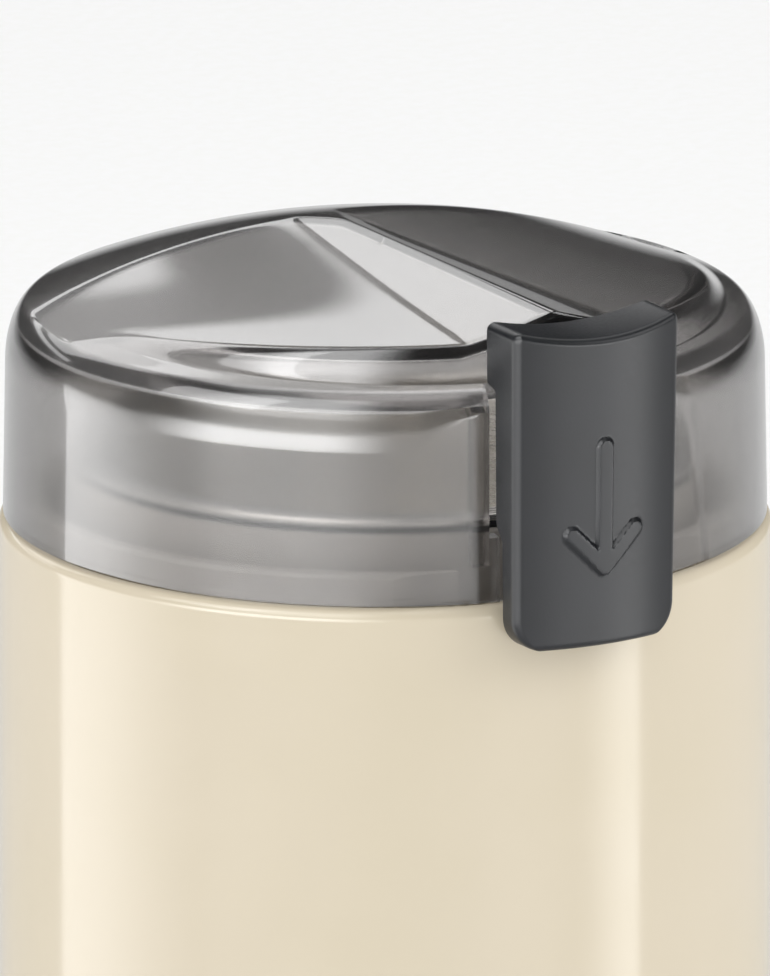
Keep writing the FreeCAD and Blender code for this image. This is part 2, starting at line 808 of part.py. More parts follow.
def lower_bracket():
    bottom = lower_plate - bracket_plate
    hub = rod(bearing_radius + hub_wall, lower_plate - bearing_height - 2.0, lower_plate)
    reach = math.hypot(screw_x, screw_y)
    bridge = box(-holder_start - holder_length - 1.0, holder_start + holder_length + 1.0, -6.0, 6.0, bottom, lower_plate)
    pillars = [rod(pillar_radius, bottom, core_bottom, x, y) for x, y in motor_screws]
    bracket = fused([hub, bridge] + bracket_arms(bottom, lower_plate, reach - 2.0) + pillars)
    cuts = [rod(bearing_radius, lower_plate - bearing_height, lower_plate + 1.0)]
    cuts += [rod(screw_radius + screw_gap, bottom - 1.0, core_bottom + 1.0, x, y) for x, y in motor_screws]
    return bracket.cut(cuts)


def motor_screw_set():
    screws = []
    start = lower_plate - bracket_plate
    end = upper_plate + bracket_plate
    for x, y in motor_screws:
        head = hex_nut(2 * screw_head * 0.9, 0.9, start - screw_head_height, start, x, y)
        shank = rod(screw_radius, start - 0.8, end + screw_head_height, x, y)
        screws.append(fused([head, shank]))
    return Part.makeCompound(screws)


def damper_screws():
    screws = []
    start = upper_plate - screw_head_height
    for angle in quarter_angles:
        x, y = polar(post_place, angle)
        head = rod(base_screw_head, start, upper_plate, x, y)
        shank = rod(base_screw, upper_plate, upper_plate + bracket_plate + damper + 8.0, x, y)
        screws.append(head.fuse(shank))
    return Part.makeCompound(screws)


def dampers():
    z0 = upper_plate + bracket_plate
    return Part.makeCompound([
        tube(damper_radius, base_screw + screw_gap, z0, z0 + damper, *polar(post_place, a)) for a in quarter_angles
    ])


def stator_core():
    """A two-pole lamination stack: yoke, two pole necks and shoes round the armature."""
    bore = armature_radius + air_gap
    wide = box(-tall, tall, -stator_half_depth, stator_half_depth, core_bottom, core_top)
    yoke = rod(stator_radius, core_bottom, core_top).common(wide)
    window = box(-yoke_x, yoke_x, -yoke_y, yoke_y, core_bottom - 1.0, core_top + 1.0)
    window = window.common(rod(yoke_round, core_bottom - 1.0, core_top + 1.0))
    poles = [box(bore, yoke_x + 1.0, -pole_half, pole_half, core_bottom, core_top)]
    poles.append(turned(poles[0], 180.0))
    shoe = tube(bore + pole_shoe, bore, core_bottom, core_top)
    away = []
    for angle in (90.0, 270.0):
        reach = 2 * stator_radius
        x0, y0 = polar(reach, angle - (90.0 - pole_angle))
        x1, y1 = polar(reach, angle + (90.0 - pole_angle))
        away.append(raised([(0, 0), (x0, y0), (x1, y1)], core_bottom - 1.0, core_top + 1.0))
    shoe = shoe.cut(away)
    core = yoke.cut(window).fuse(poles + [shoe]).cut(rod(bore, core_bottom - 1.0, core_top + 1.0))
    holes = [rod(screw_radius + screw_gap, core_bottom - 1.0, core_top + 1.0, x, y) for x, y in motor_screws]
    return core.cut(holes).removeSplitter()


def field_coils():
    """One racetrack winding round each pole neck."""
    far = yoke_x - coil_yoke_gap
    near = far - coil_depth
    coils = []
    for side in (-1, 1):
        x0 = min(side * near, side * far)
        z0 = core_bottom - coil_reach
        z1 = core_top + coil_reach
        rounding = coil_reach * 0.7
        outer = outline(
            [(-coil_half, z0, rounding), (coil_half, z0, rounding), (coil_half, z1, rounding), (-coil_half, z1, rounding)],
            lambda y, z: vec(x0, y, z),
        )
        solid = Part.Face(outer).extrude(vec(coil_depth, 0, 0))
        gap = pole_half + coil_gap
        hole = box(x0 - 1.0, x0 + coil_depth + 1.0, -gap, gap, core_bottom - coil_gap, core_top + coil_gap)
        coils.append(solid.cut(hole))
    return Part.makeCompound(coils)


def armature_core():
    core = tube(armature_radius, shaft_radius, core_bottom, core_top)
    slot = box(armature_radius - slot_depth, armature_radius + 1.0, -slot_width / 2, slot_width / 2,
               core_bottom - 1.0, core_top + 1.0)
    well = rod(slot_width * 0.8, core_bottom - 1.0, core_top + 1.0, armature_radius - slot_depth, 0)
    cuts = []
    for k in range(armature_slots):
        cuts.append(turned(slot, k * 360.0 / armature_slots))
        cuts.append(turned(well, k * 360.0 / armature_slots))
    return core.cut(cuts)


def armature_windings():
    outer = armature_radius - winding_gap
    inner = shaft_radius + 1.0
    rings = []
    for z0, z1 in ((core_bottom - winding_reach, core_bottom), (core_top, core_top + winding_reach)):
        rings.append(revolved([(inner, z0), (outer, z0, 3.0), (outer, z1), (inner, z1)]))
    return Part.makeCompound(rings)


def commutator():
    top = core_bottom - winding_reach
    bottom = top - commutator_height
    drum = revolved([
        (shaft_radius, bottom),
        (commutator_radius, bottom, 0.4),
        (commutator_radius, top - 1.5),
        (commutator_radius + 1.5, top - 1.5),
        (commutator_radius + 1.5, top),
        (shaft_radius, top),
    ])
    groove = box(commutator_radius - 1.0, commutator_radius + 2.0, -bar_groove / 2, bar_groove / 2,
                 bottom - 1.0, top + 1.0)
    return drum.cut([turned(groove, (k + 0.5) * 360.0 / commutator_bars) for k in range(commutator_bars)])


def brush_middle():
    return core_bottom - winding_reach - 1.5 - (commutator_height - 1.5) / 2


def brushes():
    start = commutator_radius + brush_gap
    z = brush_middle()
    brush = box(start, start + brush_length, -brush_width / 2, brush_width / 2, z - brush_height / 2, z + brush_height / 2)
    return Part.makeCompound([brush, turned(brush, 180.0)])


def brush_holders():
    z = brush_middle()
    half_y = brush_width / 2 + 0.1
    half_z = brush_height / 2 + 0.1
    end = holder_start + holder_length
    block = box(holder_start, end, -half_y - holder_wall, half_y + holder_wall, lower_plate, z + half_z + holder_wall)
    cavity = box(holder_start - 1.0, end - holder_wall, -half_y, half_y, z - half_z, z + half_z)
    holder = block.cut(cavity)
    return Part.makeCompound([holder, turned(holder, 180.0)])


def brush_springs():
    start = commutator_radius + brush_gap + brush_length
    end = holder_start + holder_length - holder_wall
    spring = coil(brush_spring_radius, brush_spring_wire, brush_spring_turns, start, end)
    spring.rotate(vec(0, 0, 0), vec(0, 1, 0), 90.0)
    spring.translate(vec(0, 0, brush_middle()))
    return Part.makeCompound([spring, turned(spring, 180.0)])


def cooling_fan():
    top = upper_plate - fan_gap
    disc_top = top - fan_blade_height
    disc = tube(fan_radius, shaft_radius, disc_top - fan_disc, disc_top)
    hub = tube(fan_hub, shaft_radius, disc_top - fan_disc, top)
    half = fan_blade_thickness / 2
    bow = 3.0
    inner = fan_hub + 3.0
    outer = fan_radius - 0.5
    middle = (inner + outer) / 2
    arc_a = Part.Arc(vec(inner, -half, disc_top), vec(middle, bow - half, disc_top), vec(outer, -half, disc_top))
    arc_b = Part.Arc(vec(inner, half, disc_top), vec(middle, bow + half, disc_top), vec(outer, half, disc_top))
    ends = [Part.LineSegment(vec(inner, -half, disc_top), vec(inner, half, disc_top)).toShape(),
            Part.LineSegment(vec(outer, -half, disc_top), vec(outer, half, disc_top)).toShape()]
    wire = Part.Wire([arc_a.toShape(), ends[1], arc_b.toShape(), ends[0]])
    blade_solid = Part.Face(wire).extrude(vec(0, 0, fan_blade_height))
    blades = [turned(blade_solid, k * 360.0 / fan_blades) for k in range(fan_blades)]
    return fused([disc, hub] + blades)


def blade_hub():
    z0 = bowl_floor + seal_lip + hub_gap
    return tube(hub_radius, shaft_radius, z0, blade_bottom)


def wing_section(x, rise, pitch, half, z):
    """A section of a wing across the blade, sharpened towards its leading edge."""
    turn = math.radians(pitch)
    thick = blade_thickness / 2
    corners = [(-half, -thick), (half * 0.5, -thick), (half, -thick * 0.3), (half, thick * 0.1), (half * 0.5, thick),
               (-half, thick)]
    points = []
    for y, h in corners:
        points.append(vec(x, y * math.cos(turn) - h * math.sin(turn), z + rise + y * math.sin(turn) + h * math.cos(turn)))
    return Part.makePolygon(points + [points[0]])


def blade():
    """A flat middle with two twisted wings, each rising towards its tip."""
    z = blade_bottom + blade_thickness / 2
    half = blade_width / 2
    tip = blade_length / 2
    root = hub_radius + 1.5
    wires = [
        wing_section(root, 0.0, 0.0, half, z),
        wing_section((root + tip) / 2, blade_rise * 0.45, blade_pitch * 0.55, half * 0.9, z),
        wing_section(tip, blade_rise, blade_pitch, half * 0.7, z),
    ]
    wing = Part.makeLoft(wires, True, False)
    middle = front_slab([(-root, z - blade_thickness / 2), (root, z - blade_thickness / 2),
                         (root, z + blade_thickness / 2), (-root, z + blade_thickness / 2)], -half, half)
    bore = rod(shaft_radius, z - 3.0, z + 3.0)
    return middle.fuse([wing, turned(wing, 180.0)]).cut(bore).removeSplitter()


def blade_nut():
    z0 = blade_bottom + blade_thickness
    return hex_nut(nut_flats, shaft_radius, z0, z0 + nut_height)


def save(name, shape):
    shape.exportStep("parts/" + name + ".step")
    print(name, len(shape.Solids), round(shape.Volume, 1), shape.isValid())


def main():
    os.makedirs("parts", exist_ok=True)
    save("body_shell", body_shell())
    save("base_plate", base())
    save("base_screws", base_screws())
    save("foot_ring", foot_ring())
    save("cord_inlet_bush", inlet_bush())
    save("top_deck", top_deck())
    save("grinding_bowl", grinding_bowl())
    save("bowl_gasket", bowl_gasket())
    save("shaft_seal", shaft_seal())
    save("lid", lid())
    save("press_button", press_button())
    save("button_slide", button_slide())
    save("return_spring", return_spring())
    save("switch_bracket", switch_bracket())
    save("micro_switch", micro_switch())
    save("switch_lever", switch_lever())
    save("switch_plunger", switch_plunger())
    save("motor_shaft", motor_shaft())
    save("upper_bearing", bearing(upper_plate))
    save("lower_bearing", bearing(lower_plate - bearing_height))
    save("upper_bracket", upper_bracket())
    save("lower_bracket", lower_bracket())
    save("motor_screws", motor_screw_set())
    save("damper_screws", damper_screws())
    save("motor_dampers", dampers())
    save("stator_core", stator_core())
    save("field_coils", field_coils())
    save("armature_core", armature_core())
    save("armature_windings", armature_windings())
    save("commutator", commutator())
    save("carbon_brushes", brushes())
    save("brush_holders", brush_holders())
    save("brush_springs", brush_springs())
    save("cooling_fan", cooling_fan())
    save("blade_hub", blade_hub())
    save("blade", blade())
    save("blade_nut", blade_nut())


main()
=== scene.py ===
# %% [markdown]
# # An electric spice grinder
# A cream body, a smoky clear lid with a ridge and two scooped facets, and one long grey
# button outside both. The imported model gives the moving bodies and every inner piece. This
# script dresses it: it rebuilds the pieces whose surfaces carry reflections, to the same
# sizes or just inside them, and gives every other piece a finish of its own.
#
# Sizes are in millimetres, and the factor MM turns them to metres.

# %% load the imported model
import json
import math
import bmesh
import bpy
import numpy as np
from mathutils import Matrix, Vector


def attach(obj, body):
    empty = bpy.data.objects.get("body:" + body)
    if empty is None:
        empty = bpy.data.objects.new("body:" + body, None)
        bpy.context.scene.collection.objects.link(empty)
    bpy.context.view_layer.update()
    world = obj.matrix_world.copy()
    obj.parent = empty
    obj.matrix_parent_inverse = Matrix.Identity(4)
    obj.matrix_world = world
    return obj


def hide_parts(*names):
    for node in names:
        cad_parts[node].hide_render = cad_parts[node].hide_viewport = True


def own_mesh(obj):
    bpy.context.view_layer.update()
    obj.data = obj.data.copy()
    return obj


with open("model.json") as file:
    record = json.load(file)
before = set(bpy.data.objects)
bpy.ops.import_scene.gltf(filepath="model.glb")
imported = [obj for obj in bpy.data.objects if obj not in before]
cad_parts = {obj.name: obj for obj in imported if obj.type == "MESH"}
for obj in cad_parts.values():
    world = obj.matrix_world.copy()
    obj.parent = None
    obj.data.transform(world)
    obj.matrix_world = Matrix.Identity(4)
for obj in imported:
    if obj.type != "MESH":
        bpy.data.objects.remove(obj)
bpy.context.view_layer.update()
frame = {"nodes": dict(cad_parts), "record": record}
MM = 0.001

# %% [markdown]
# ## Camera
# The lid's rim is an ellipse whose height is 0.257 of its width, so the camera looks down
# by 14.9 degrees. A long lens from 4 m keeps the sides of the body upright, as they are in
# the photograph. The button faces -Y and stands 29.6 degrees to the right of the middle.

# %% camera
FRAME_WIDTH = 770
FRAME_HEIGHT = 976
VIEW = -29.6
CAMERA_AZIMUTH = math.radians(VIEW)
CAMERA_ELEVATION = math.radians(14.9)
CAMERA_DISTANCE = 4.0
PIXELS_PER_METRE = 8700.0
SENSOR = 36.0
RIM = 138.0
AIM_ABOVE_RIM = 2.1

level = math.cos(CAMERA_ELEVATION)
toward_camera = Vector((
    math.sin(CAMERA_AZIMUTH) * level,
    -math.cos(CAMERA_AZIMUTH) * level,
    math.sin(CAMERA_ELEVATION),
))
camera = bpy.data.cameras.new("camera")
camera.sensor_width = SENSOR
camera.lens = SENSOR * CAMERA_DISTANCE * PIXELS_PER_METRE / max(FRAME_WIDTH, FRAME_HEIGHT)
camera.clip_end = 20.0
viewer = bpy.data.objects.new("camera", camera)
viewer.location = Vector((0, 0, (RIM + AIM_ABOVE_RIM) * MM)) + toward_camera * CAMERA_DISTANCE
viewer.rotation_euler = toward_camera.to_track_quat("Z", "Y").to_euler()
bpy.context.scene.collection.objects.link(viewer)
bpy.context.scene.camera = viewer
bpy.context.scene.view_settings.view_transform = "Standard"
print("lens", round(camera.lens, 1), "mm")

# %% [markdown]
# ## Small tools for materials
# A finish is a Principled shader with a few nodes before it. One function turns a hex
# colour to linear light, and one adds a node with its settings and links. A pattern's
# scale comes from a real size: a noise of scale 1 / size has features about that size.

# %% colours and nodes
def to_linear(code):
    """A hex colour in linear light: c / 12.92 below 0.04045, else ((c + 0.055) / 1.055) ** 2.4."""
    values = np.array([int(code[i:i + 2], 16) for i in (1, 3, 5)]) / 255.0
    linear = np.where(values <= 0.04045, values / 12.92, ((values + 0.055) / 1.055) ** 2.4)
    return (*linear.tolist(), 1.0)


def add_node(tree, kind, settings=None, inputs=None):
    """Adds a shader node. An input is a number, a colour or another node's output to link."""
    node = tree.nodes.new("ShaderNode" + kind)
    for name, value in (settings or {}).items():
        setattr(node, name, value)
    for name, value in (inputs or {}).items():
        if isinstance(value, bpy.types.NodeSocket):
            tree.links.new(value, node.inputs[name])
        else:
            node.inputs[name].default_value = value
    return node


def new_finish(name, colour, roughness, metallic=0.0, **values):
    """A material with plain values on its Principled shader, and its Object coordinates."""
    material = bpy.data.materials.new(name)
    material.use_nodes = True
    tree = material.node_tree
    shader = tree.nodes["Principled BSDF"]
    shader.inputs["Base Color"].default_value = to_linear(colour)
    shader.inputs["Roughness"].default_value = roughness
    shader.inputs["Metallic"].default_value = metallic
    for key, value in values.items():
        shader.inputs[key.replace("_", " ")].default_value = value
    place = add_node(tree, "TexCoord").outputs["Object"]
    return material, tree, shader, place


def noise(tree, place, size, detail=2.0, stretch=(1, 1, 1)):
    """Noise with features of about size millimetres, stretched along an axis where stretch is under 1."""
    mapped = add_node(tree, "Mapping", {}, {"Vector": place, "Scale": stretch})
    inputs = {"Vector": mapped.outputs["Vector"], "Scale": 1.0 / (size * MM), "Detail": detail}
    return add_node(tree, "TexNoise", {}, inputs).outputs["Fac"]


def wave_scale(spacing):
    """The scale of a wave texture whose lines are spacing millimetres apart: 2 pi / (20 s)."""
    return 2 * math.pi / (20.0 * spacing * MM)


def grain(tree, shader, height, depth, strength=1.0):
    """Turns a height pattern into bump, depth millimetres from its lowest to its highest point."""
    bump = add_node(tree, "Bump", {}, {"Height": height, "Distance": depth * MM, "Strength": strength})
    tree.links.new(bump.outputs["Normal"], shader.inputs["Normal"])


def mottle(tree, shader, pattern, dark, light, low=0.35, high=0.65):
    """Lets the colour drift between two hex colours over a pattern."""
    colours = add_node(tree, "ValToRGB", {}, {"Fac": pattern})
    for stop, place, code in zip(colours.color_ramp.elements, (low, high), (dark, light)):
        stop.position = place
        stop.color = to_linear(code)
    tree.links.new(colours.outputs["Color"], shader.inputs["Base Color"])


def rough_drift(tree, shader, pattern, low, high):
    """Lets the roughness drift between two values over a pattern."""
    inputs = {"Value": pattern, "From Min": 0.3, "From Max": 0.7, "To Min": low, "To Max": high}
    drift = add_node(tree, "MapRange", {}, inputs)
    tree.links.new(drift.outputs["Result"], shader.inputs["Roughness"])


print("cream in linear light", [round(v, 3) for v in to_linear("#E7DBC3")])

# %% [markdown]
# ## Plastics
# The body is glossy ABS, polished in its mould: a clear sharp reflection over a warm,
# slightly soft colour. The button is ABS with a fine eroded grain, so its reflections are
# wide and soft. The lid is SAN, a clear hard plastic, dyed smoky: its colour comes from
# the depth of plastic that light goes through, so the walls hold an absorbing volume.

# %% plastics
def cream_abs():
    """Glossy cream ABS: sharp reflections, and a faint waviness of the moulded wall."""
    material, tree, shader, place = new_finish("cream_gloss_abs", "#E8DCC4", 0.12, IOR=1.53)
    mottle(tree, shader, noise(tree, place, 30.0), "#E7DBC2", "#E9DDC6")
    rough_drift(tree, shader, noise(tree, place, 8.0), 0.09, 0.14)
    grain(tree, shader, noise(tree, place, 14.0, 1.0), 0.006)
    return material


def satin_abs():
    """Dark grey ABS with a fine spark-eroded grain, drawn at 0.25 mm so that it shows."""
    material, tree, shader, place = new_finish("dark_satin_abs", "#1A1C1F", 0.34, IOR=1.53)
    mottle(tree, shader, noise(tree, place, 6.0, 4.0), "#191B1E", "#1C1E22")
    rough_drift(tree, shader, noise(tree, place, 0.4, 3.0), 0.30, 0.38)
    grain(tree, shader, noise(tree, place, 0.25, 3.0), 0.006)
    return material


SAN_IOR = 1.57
SMOKE_DENSITY = 250.0
SMOKE_COLOUR = "#98918E"


def smoky_san():
    """Smoky clear SAN: a sharp polished skin over a wall that blurs what lies behind and darkens it."""
    material, tree, shader, place = new_finish(
        "smoky_clear_san", "#FFFFFF", 0.17, IOR=SAN_IOR, Transmission_Weight=1.0,
        Coat_Weight=1.0, Coat_Roughness=0.015, Coat_IOR=SAN_IOR)
    depth = {"Color": to_linear(SMOKE_COLOUR), "Density": SMOKE_DENSITY}
    smoke = add_node(tree, "VolumeAbsorption", {}, depth)
    tree.links.new(smoke.outputs["Volume"], tree.nodes["Material Output"].inputs["Volume"])
    grain(tree, shader, noise(tree, place, 9.0, 1.0), 0.008)
    return material


def moulded_plastic(name, dark, light, roughness):
    """Plain injection moulding: an even colour with a fine matt grain, drawn at 0.4 mm."""
    material, tree, shader, place = new_finish(name, light, roughness, IOR=1.5)
    mottle(tree, shader, noise(tree, place, 5.0, 4.0), dark, light)
    rough_drift(tree, shader, noise(tree, place, 1.0, 3.0), roughness - 0.05, roughness + 0.06)
    grain(tree, shader, noise(tree, place, 0.4, 2.0), 0.008)
    return material


def moulded_rubber():
    """Black rubber: dull, with a powdery bloom and a coarse 0.6 mm grain."""
    material, tree, shader, place = new_finish("black_rubber", "#1C1C1D", 0.75, IOR=1.5)
    mottle(tree, shader, noise(tree, place, 3.0, 6.0), "#191919", "#262627")
    grain(tree, shader, noise(tree, place, 0.6, 3.0), 0.02)
    return material


# %% [markdown]
# ## Metals
# Spun stainless steel has rings round its axis, plated steel a faint crystal mottle, die
# castings a pebbled skin, and sintered bronze open pores. Rings round Z are a noise read at
# the radius and the height, so it doesn't change round the axis.

# %% metals
def spun_steel():
    """Stainless steel spun on a lathe: rings about 0.3 mm wide, read from radius and height."""
    material, tree, shader, place = new_finish("spun_stainless", "#E2DFDA", 0.24, 1.0)
    parts = add_node(tree, "SeparateXYZ", {}, {"Vector": place})
    flat = add_node(tree, "CombineXYZ", {}, {"X": parts.outputs["X"], "Y": parts.outputs["Y"]})
    radius = add_node(tree, "VectorMath", {"operation": "LENGTH"}, {0: flat.outputs["Vector"]})
    rings = add_node(tree, "CombineXYZ", {}, {"X": radius.outputs["Value"], "Z": parts.outputs["Z"]})
    line = noise(tree, rings.outputs["Vector"], 0.3, 2.0)
    rough_drift(tree, shader, line, 0.2, 0.32)
    mottle(tree, shader, noise(tree, place, 12.0), "#DDDAD5", "#E7E5E1")
    grain(tree, shader, line, 0.004)
    return material


def plated_steel():
    """Zinc-plated steel: bright, with a faint crystalline mottle of 1.5 mm."""
    material, tree, shader, place = new_finish("plated_steel", "#B9BBBD", 0.28, 1.0)
    mottle(tree, shader, noise(tree, place, 1.5, 4.0), "#A9ABAE", "#C4C6C8")
    rough_drift(tree, shader, noise(tree, place, 2.0, 3.0), 0.22, 0.36)
    grain(tree, shader, noise(tree, place, 0.3, 2.0), 0.004)
    return material


def cast_zinc():
    """Die-cast bracket metal: matt, pebbled at 0.5 mm."""
    material, tree, shader, place = new_finish("cast_zinc", "#A4A6A8", 0.5, 1.0)
    mottle(tree, shader, noise(tree, place, 4.0, 5.0), "#94979A", "#B0B2B4")
    grain(tree, shader, noise(tree, place, 0.5, 3.0), 0.03)
    return material


LINES_APART = math.pi


def stacked_laminations():
    """Electrical steel sheets: lines across the stack, drawn 3.1 mm apart so that they show."""
    material, tree, shader, place = new_finish("stacked_laminations", "#5E6064", 0.45, 0.9)
    settings = {"wave_type": "BANDS", "bands_direction": "Z", "wave_profile": "SAW"}
    inputs = {"Vector": place, "Scale": wave_scale(LINES_APART), "Distortion": 0.1}
    sheets = add_node(tree, "TexWave", settings, inputs).outputs["Fac"]
    mottle(tree, shader, noise(tree, place, 3.0, 4.0), "#54565A", "#6A6C70")
    grain(tree, shader, sheets, 0.08)
    return material


def wound_copper():
    """Enamelled copper wire: amber brown, with turns drawn 3.1 mm apart so that they show."""
    material, tree, shader, place = new_finish("wound_copper", "#9A5A32", 0.3, 0.85, Coat_Weight=0.6)
    settings = {"wave_type": "RINGS", "rings_direction": "Z"}
    inputs = {"Vector": place, "Scale": wave_scale(LINES_APART), "Distortion": 1.5, "Detail": 2.0}
    turns = add_node(tree, "TexWave", settings, inputs).outputs["Fac"]
    mottle(tree, shader, turns, "#7C4526", "#B0683A", 0.1, 0.9)
    grain(tree, shader, turns, 0.15)
    return material


def sintered_bronze():
    """Sintered bronze: brown gold with open pores of 0.3 mm."""
    material, tree, shader, place = new_finish("sintered_bronze", "#A67C45", 0.42, 1.0)
    pores = noise(tree, place, 0.3, 5.0)
    mottle(tree, shader, pores, "#7E5C32", "#B48A50", 0.3, 0.5)
    grain(tree, shader, pores, 0.02)
    return material


def pressed_carbon():
    """Pressed carbon: soft black with a grey sheen and grit of 0.4 mm."""
    material, tree, shader, place = new_finish("pressed_carbon", "#2B2B2D", 0.55, 0.2)
    grit = noise(tree, place, 0.4, 4.0)
    mottle(tree, shader, grit, "#242426", "#38383B")
    grain(tree, shader, grit, 0.02)
    return material


finishes = {
    "cream_plastic": cream_abs(),
    "smoky_clear": smoky_san(),
    "dark_plastic": satin_abs(),
    "deck_plastic": moulded_plastic("deck_abs", "#B4AFA8", "#BCB7B0", 0.4),
    "slide_plastic": moulded_plastic("grey_acetal", "#4A4B4D", "#525355", 0.35),
    "black_plastic": moulded_plastic("black_nylon", "#222223", "#2B2B2C", 0.45),
    "stainless": spun_steel(),
    "steel": plated_steel(),
    "bronze": sintered_bronze(),
    "cast_metal": cast_zinc(),
    "lamination_steel": stacked_laminations(),
    "copper": wound_copper(),
    "carbon": pressed_carbon(),
    "rubber": moulded_rubber(),
}
for entry in frame["record"]["subparts"]:
    node = frame["nodes"][entry["node"]]
    node.data.materials.clear()
    node.data.materials.append(finishes[entry["material_slot"]])

# %% [markdown]
# ## Making a moulded piece out of two skins
# A moulded wall has an outer and an inner skin. Both are worked out on one grid of rows and
# columns, so a point of one faces a point of the other. Faces left out of the grid make an
# opening, and every open edge gets a strip from skin to skin. The body, the lid, the button
# and its web are all made this way, and each wall closes by itself.

# %% two skins
BEND = math.radians(32.0)


def new_piece(name, corners, faces, slot, body):
    """A mesh in metres: seam and poles merged, normals outward, smooth up to a 32 degree bend."""
    mesh = bpy.data.meshes.new(name)
    mesh.from_pydata((corners * MM).tolist(), [], faces.tolist())
    work = bmesh.new()
    work.from_mesh(mesh)
    bmesh.ops.remove_doubles(work, verts=work.verts, dist=0.001 * MM)
    bmesh.ops.recalc_face_normals(work, faces=work.faces)
    work.to_mesh(mesh)
    work.free()
    mesh.shade_smooth()
    mesh.set_sharp_from_angle(angle=BEND)
    mesh.materials.append(finishes[slot])
    piece = bpy.data.objects.new(name, mesh)
    bpy.context.scene.collection.objects.link(piece)
    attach(piece, body)
    print(name, len(mesh.vertices), "points,", len(mesh.polygons), "faces")
    return piece


def quads(kept, first, row, column, turned_round=False):
    """Corner numbers of the kept cells. Point (i, j) is first + i * row + j * column."""
    i, j = np.nonzero(kept)
    square = [first + a * row + b * column for a, b in ((i, j), (i, j + 1), (i + 1, j + 1), (i + 1, j))]
    return np.stack(square[::-1] if turned_round else square, axis=1)


def two_skins(outer, inner, kept):
    """Points and faces of a wall: both skins' kept cells, and a strip at each edge of one kept cell."""
    rows, columns = outer.shape[:2]
    corners = np.concatenate([outer.reshape(-1, 3), inner.reshape(-1, 3)])
    other = rows * columns
    faces = [quads(kept, 0, columns, 1), quads(kept, other, columns, 1, True)]
    padded = np.pad(kept, 1)
    across = padded[1:, 1:-1] != padded[:-1, 1:-1]
    i, j = np.nonzero(across)
    a, b = i * columns + j, i * columns + j + 1
    faces.append(np.stack([a, b, b + other, a + other], axis=1))
    along = padded[1:-1, 1:] != padded[1:-1, :-1]
    i, j = np.nonzero(along)
    a, b = i * columns + j, (i + 1) * columns + j
    faces.append(np.stack([a, b, b + other, a + other], axis=1))
    return corners, np.concatenate(faces)


def ring_kept(rows, columns):
    """Every cell of a grid whose first and last column are the same line: it closes round the axis."""
    return np.ones((rows - 1, columns - 1), bool)


# %% [markdown]
# ## Turned pieces
# The bowl and the foot are round, so each is a closed profile carried round Z. A sharp
# corner shows no highlight, and every real edge does, so the profile function rounds each
# corner with an arc of its own. The body and the lid are carried round Z in the same way.

# %% profiles
ROUND_STEPS = 6


def rounded(profile):
    """A closed profile of (radius, height, round): each corner becomes an arc tangent to both runs."""
    points = np.array([(p[0], p[1]) for p in profile], float)
    rounds = np.array([p[2] if len(p) > 2 else 0.15 for p in profile], float)
    before = np.roll(points, 1, axis=0) - points
    after = np.roll(points, -1, axis=0) - points
    reach_before = np.linalg.norm(before, axis=1)
    reach_after = np.linalg.norm(after, axis=1)
    before /= reach_before[:, None]
    after /= reach_after[:, None]
    angle = np.arccos(np.clip((before * after).sum(axis=1), -1, 1))
    back_off = np.minimum(rounds / np.tan(angle / 2), 0.48 * np.minimum(reach_before, reach_after))
    start = points + before * back_off[:, None]
    end = points + after * back_off[:, None]
    t = np.linspace(0, 1, ROUND_STEPS)[None, :, None]
    weight = np.cos((math.pi - angle) / 2)[:, None, None]
    top = (1 - t) ** 2 * start[:, None] + 2 * t * (1 - t) * weight * points[:, None] + t ** 2 * end[:, None]
    bottom = (1 - t) ** 2 + 2 * t * (1 - t) * weight + t ** 2
    return (top / bottom).reshape(-1, 2)


def spread(profile, longest):
    """Adds points on long runs, so that no run is longer than the given length."""
    ends = np.roll(profile, -1, axis=0)
    steps = np.maximum(1, np.ceil(np.linalg.norm(ends - profile, axis=1) / longest)).astype(int)
    which = np.repeat(np.arange(len(profile)), steps)
    part = (np.arange(len(which)) - np.repeat(np.cumsum(steps) - steps, steps)) / steps[which]
    return profile[which] + (ends - profile)[which] * part[:, None]


def carried_round(profile, turns):
    """Points (r sin a, -r cos a, z) for each profile point and each of the angles a."""
    r, z = profile[:, :1], profile[:, 1:]
    return np.stack([r * np.sin(turns), -r * np.cos(turns), z + 0 * turns], axis=-1)


def turned_piece(name, node, profile, slot, body, columns=192, longest=6.0):
    """Carries a closed, rounded profile round Z and lets it stand for its CAD node."""
    line = spread(rounded(profile), longest)
    line = np.concatenate([line, line[:1]])
    turns = np.linspace(0, 2 * math.pi, columns + 1)
    points = carried_round(line, turns)
    faces = quads(ring_kept(*points.shape[:2]), 0, points.shape[1], 1)
    piece = new_piece(name, points.reshape(-1, 3), faces, slot, body)
    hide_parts(node)
    return piece


# %% [markdown]
# ## Body
# The body is one deep cream moulding. Its wall is 2.4 mm thick, so it is an outer and an
# inner skin. The inner skin steps in at the ledge that carries the deck. The cord's bush
# goes through a round hole at the back, so the cells inside that hole are left out. The
# bush's flange covers their edge.

# %% body
BODY_RADIUS = 44.48
BODY_TOP = 137.4
BODY_FOOT = 1.6
WALL = 2.4
EDGE = 1.2
LEDGE_TOP = 126.0
LEDGE_DEPTH = 1.9
LEDGE_HEIGHT = 3.6
INLET_HEIGHT = 13.0
INLET_HOLE = 5.4
BODY_COLUMNS = 360
EDGE_HOLD = 0.3

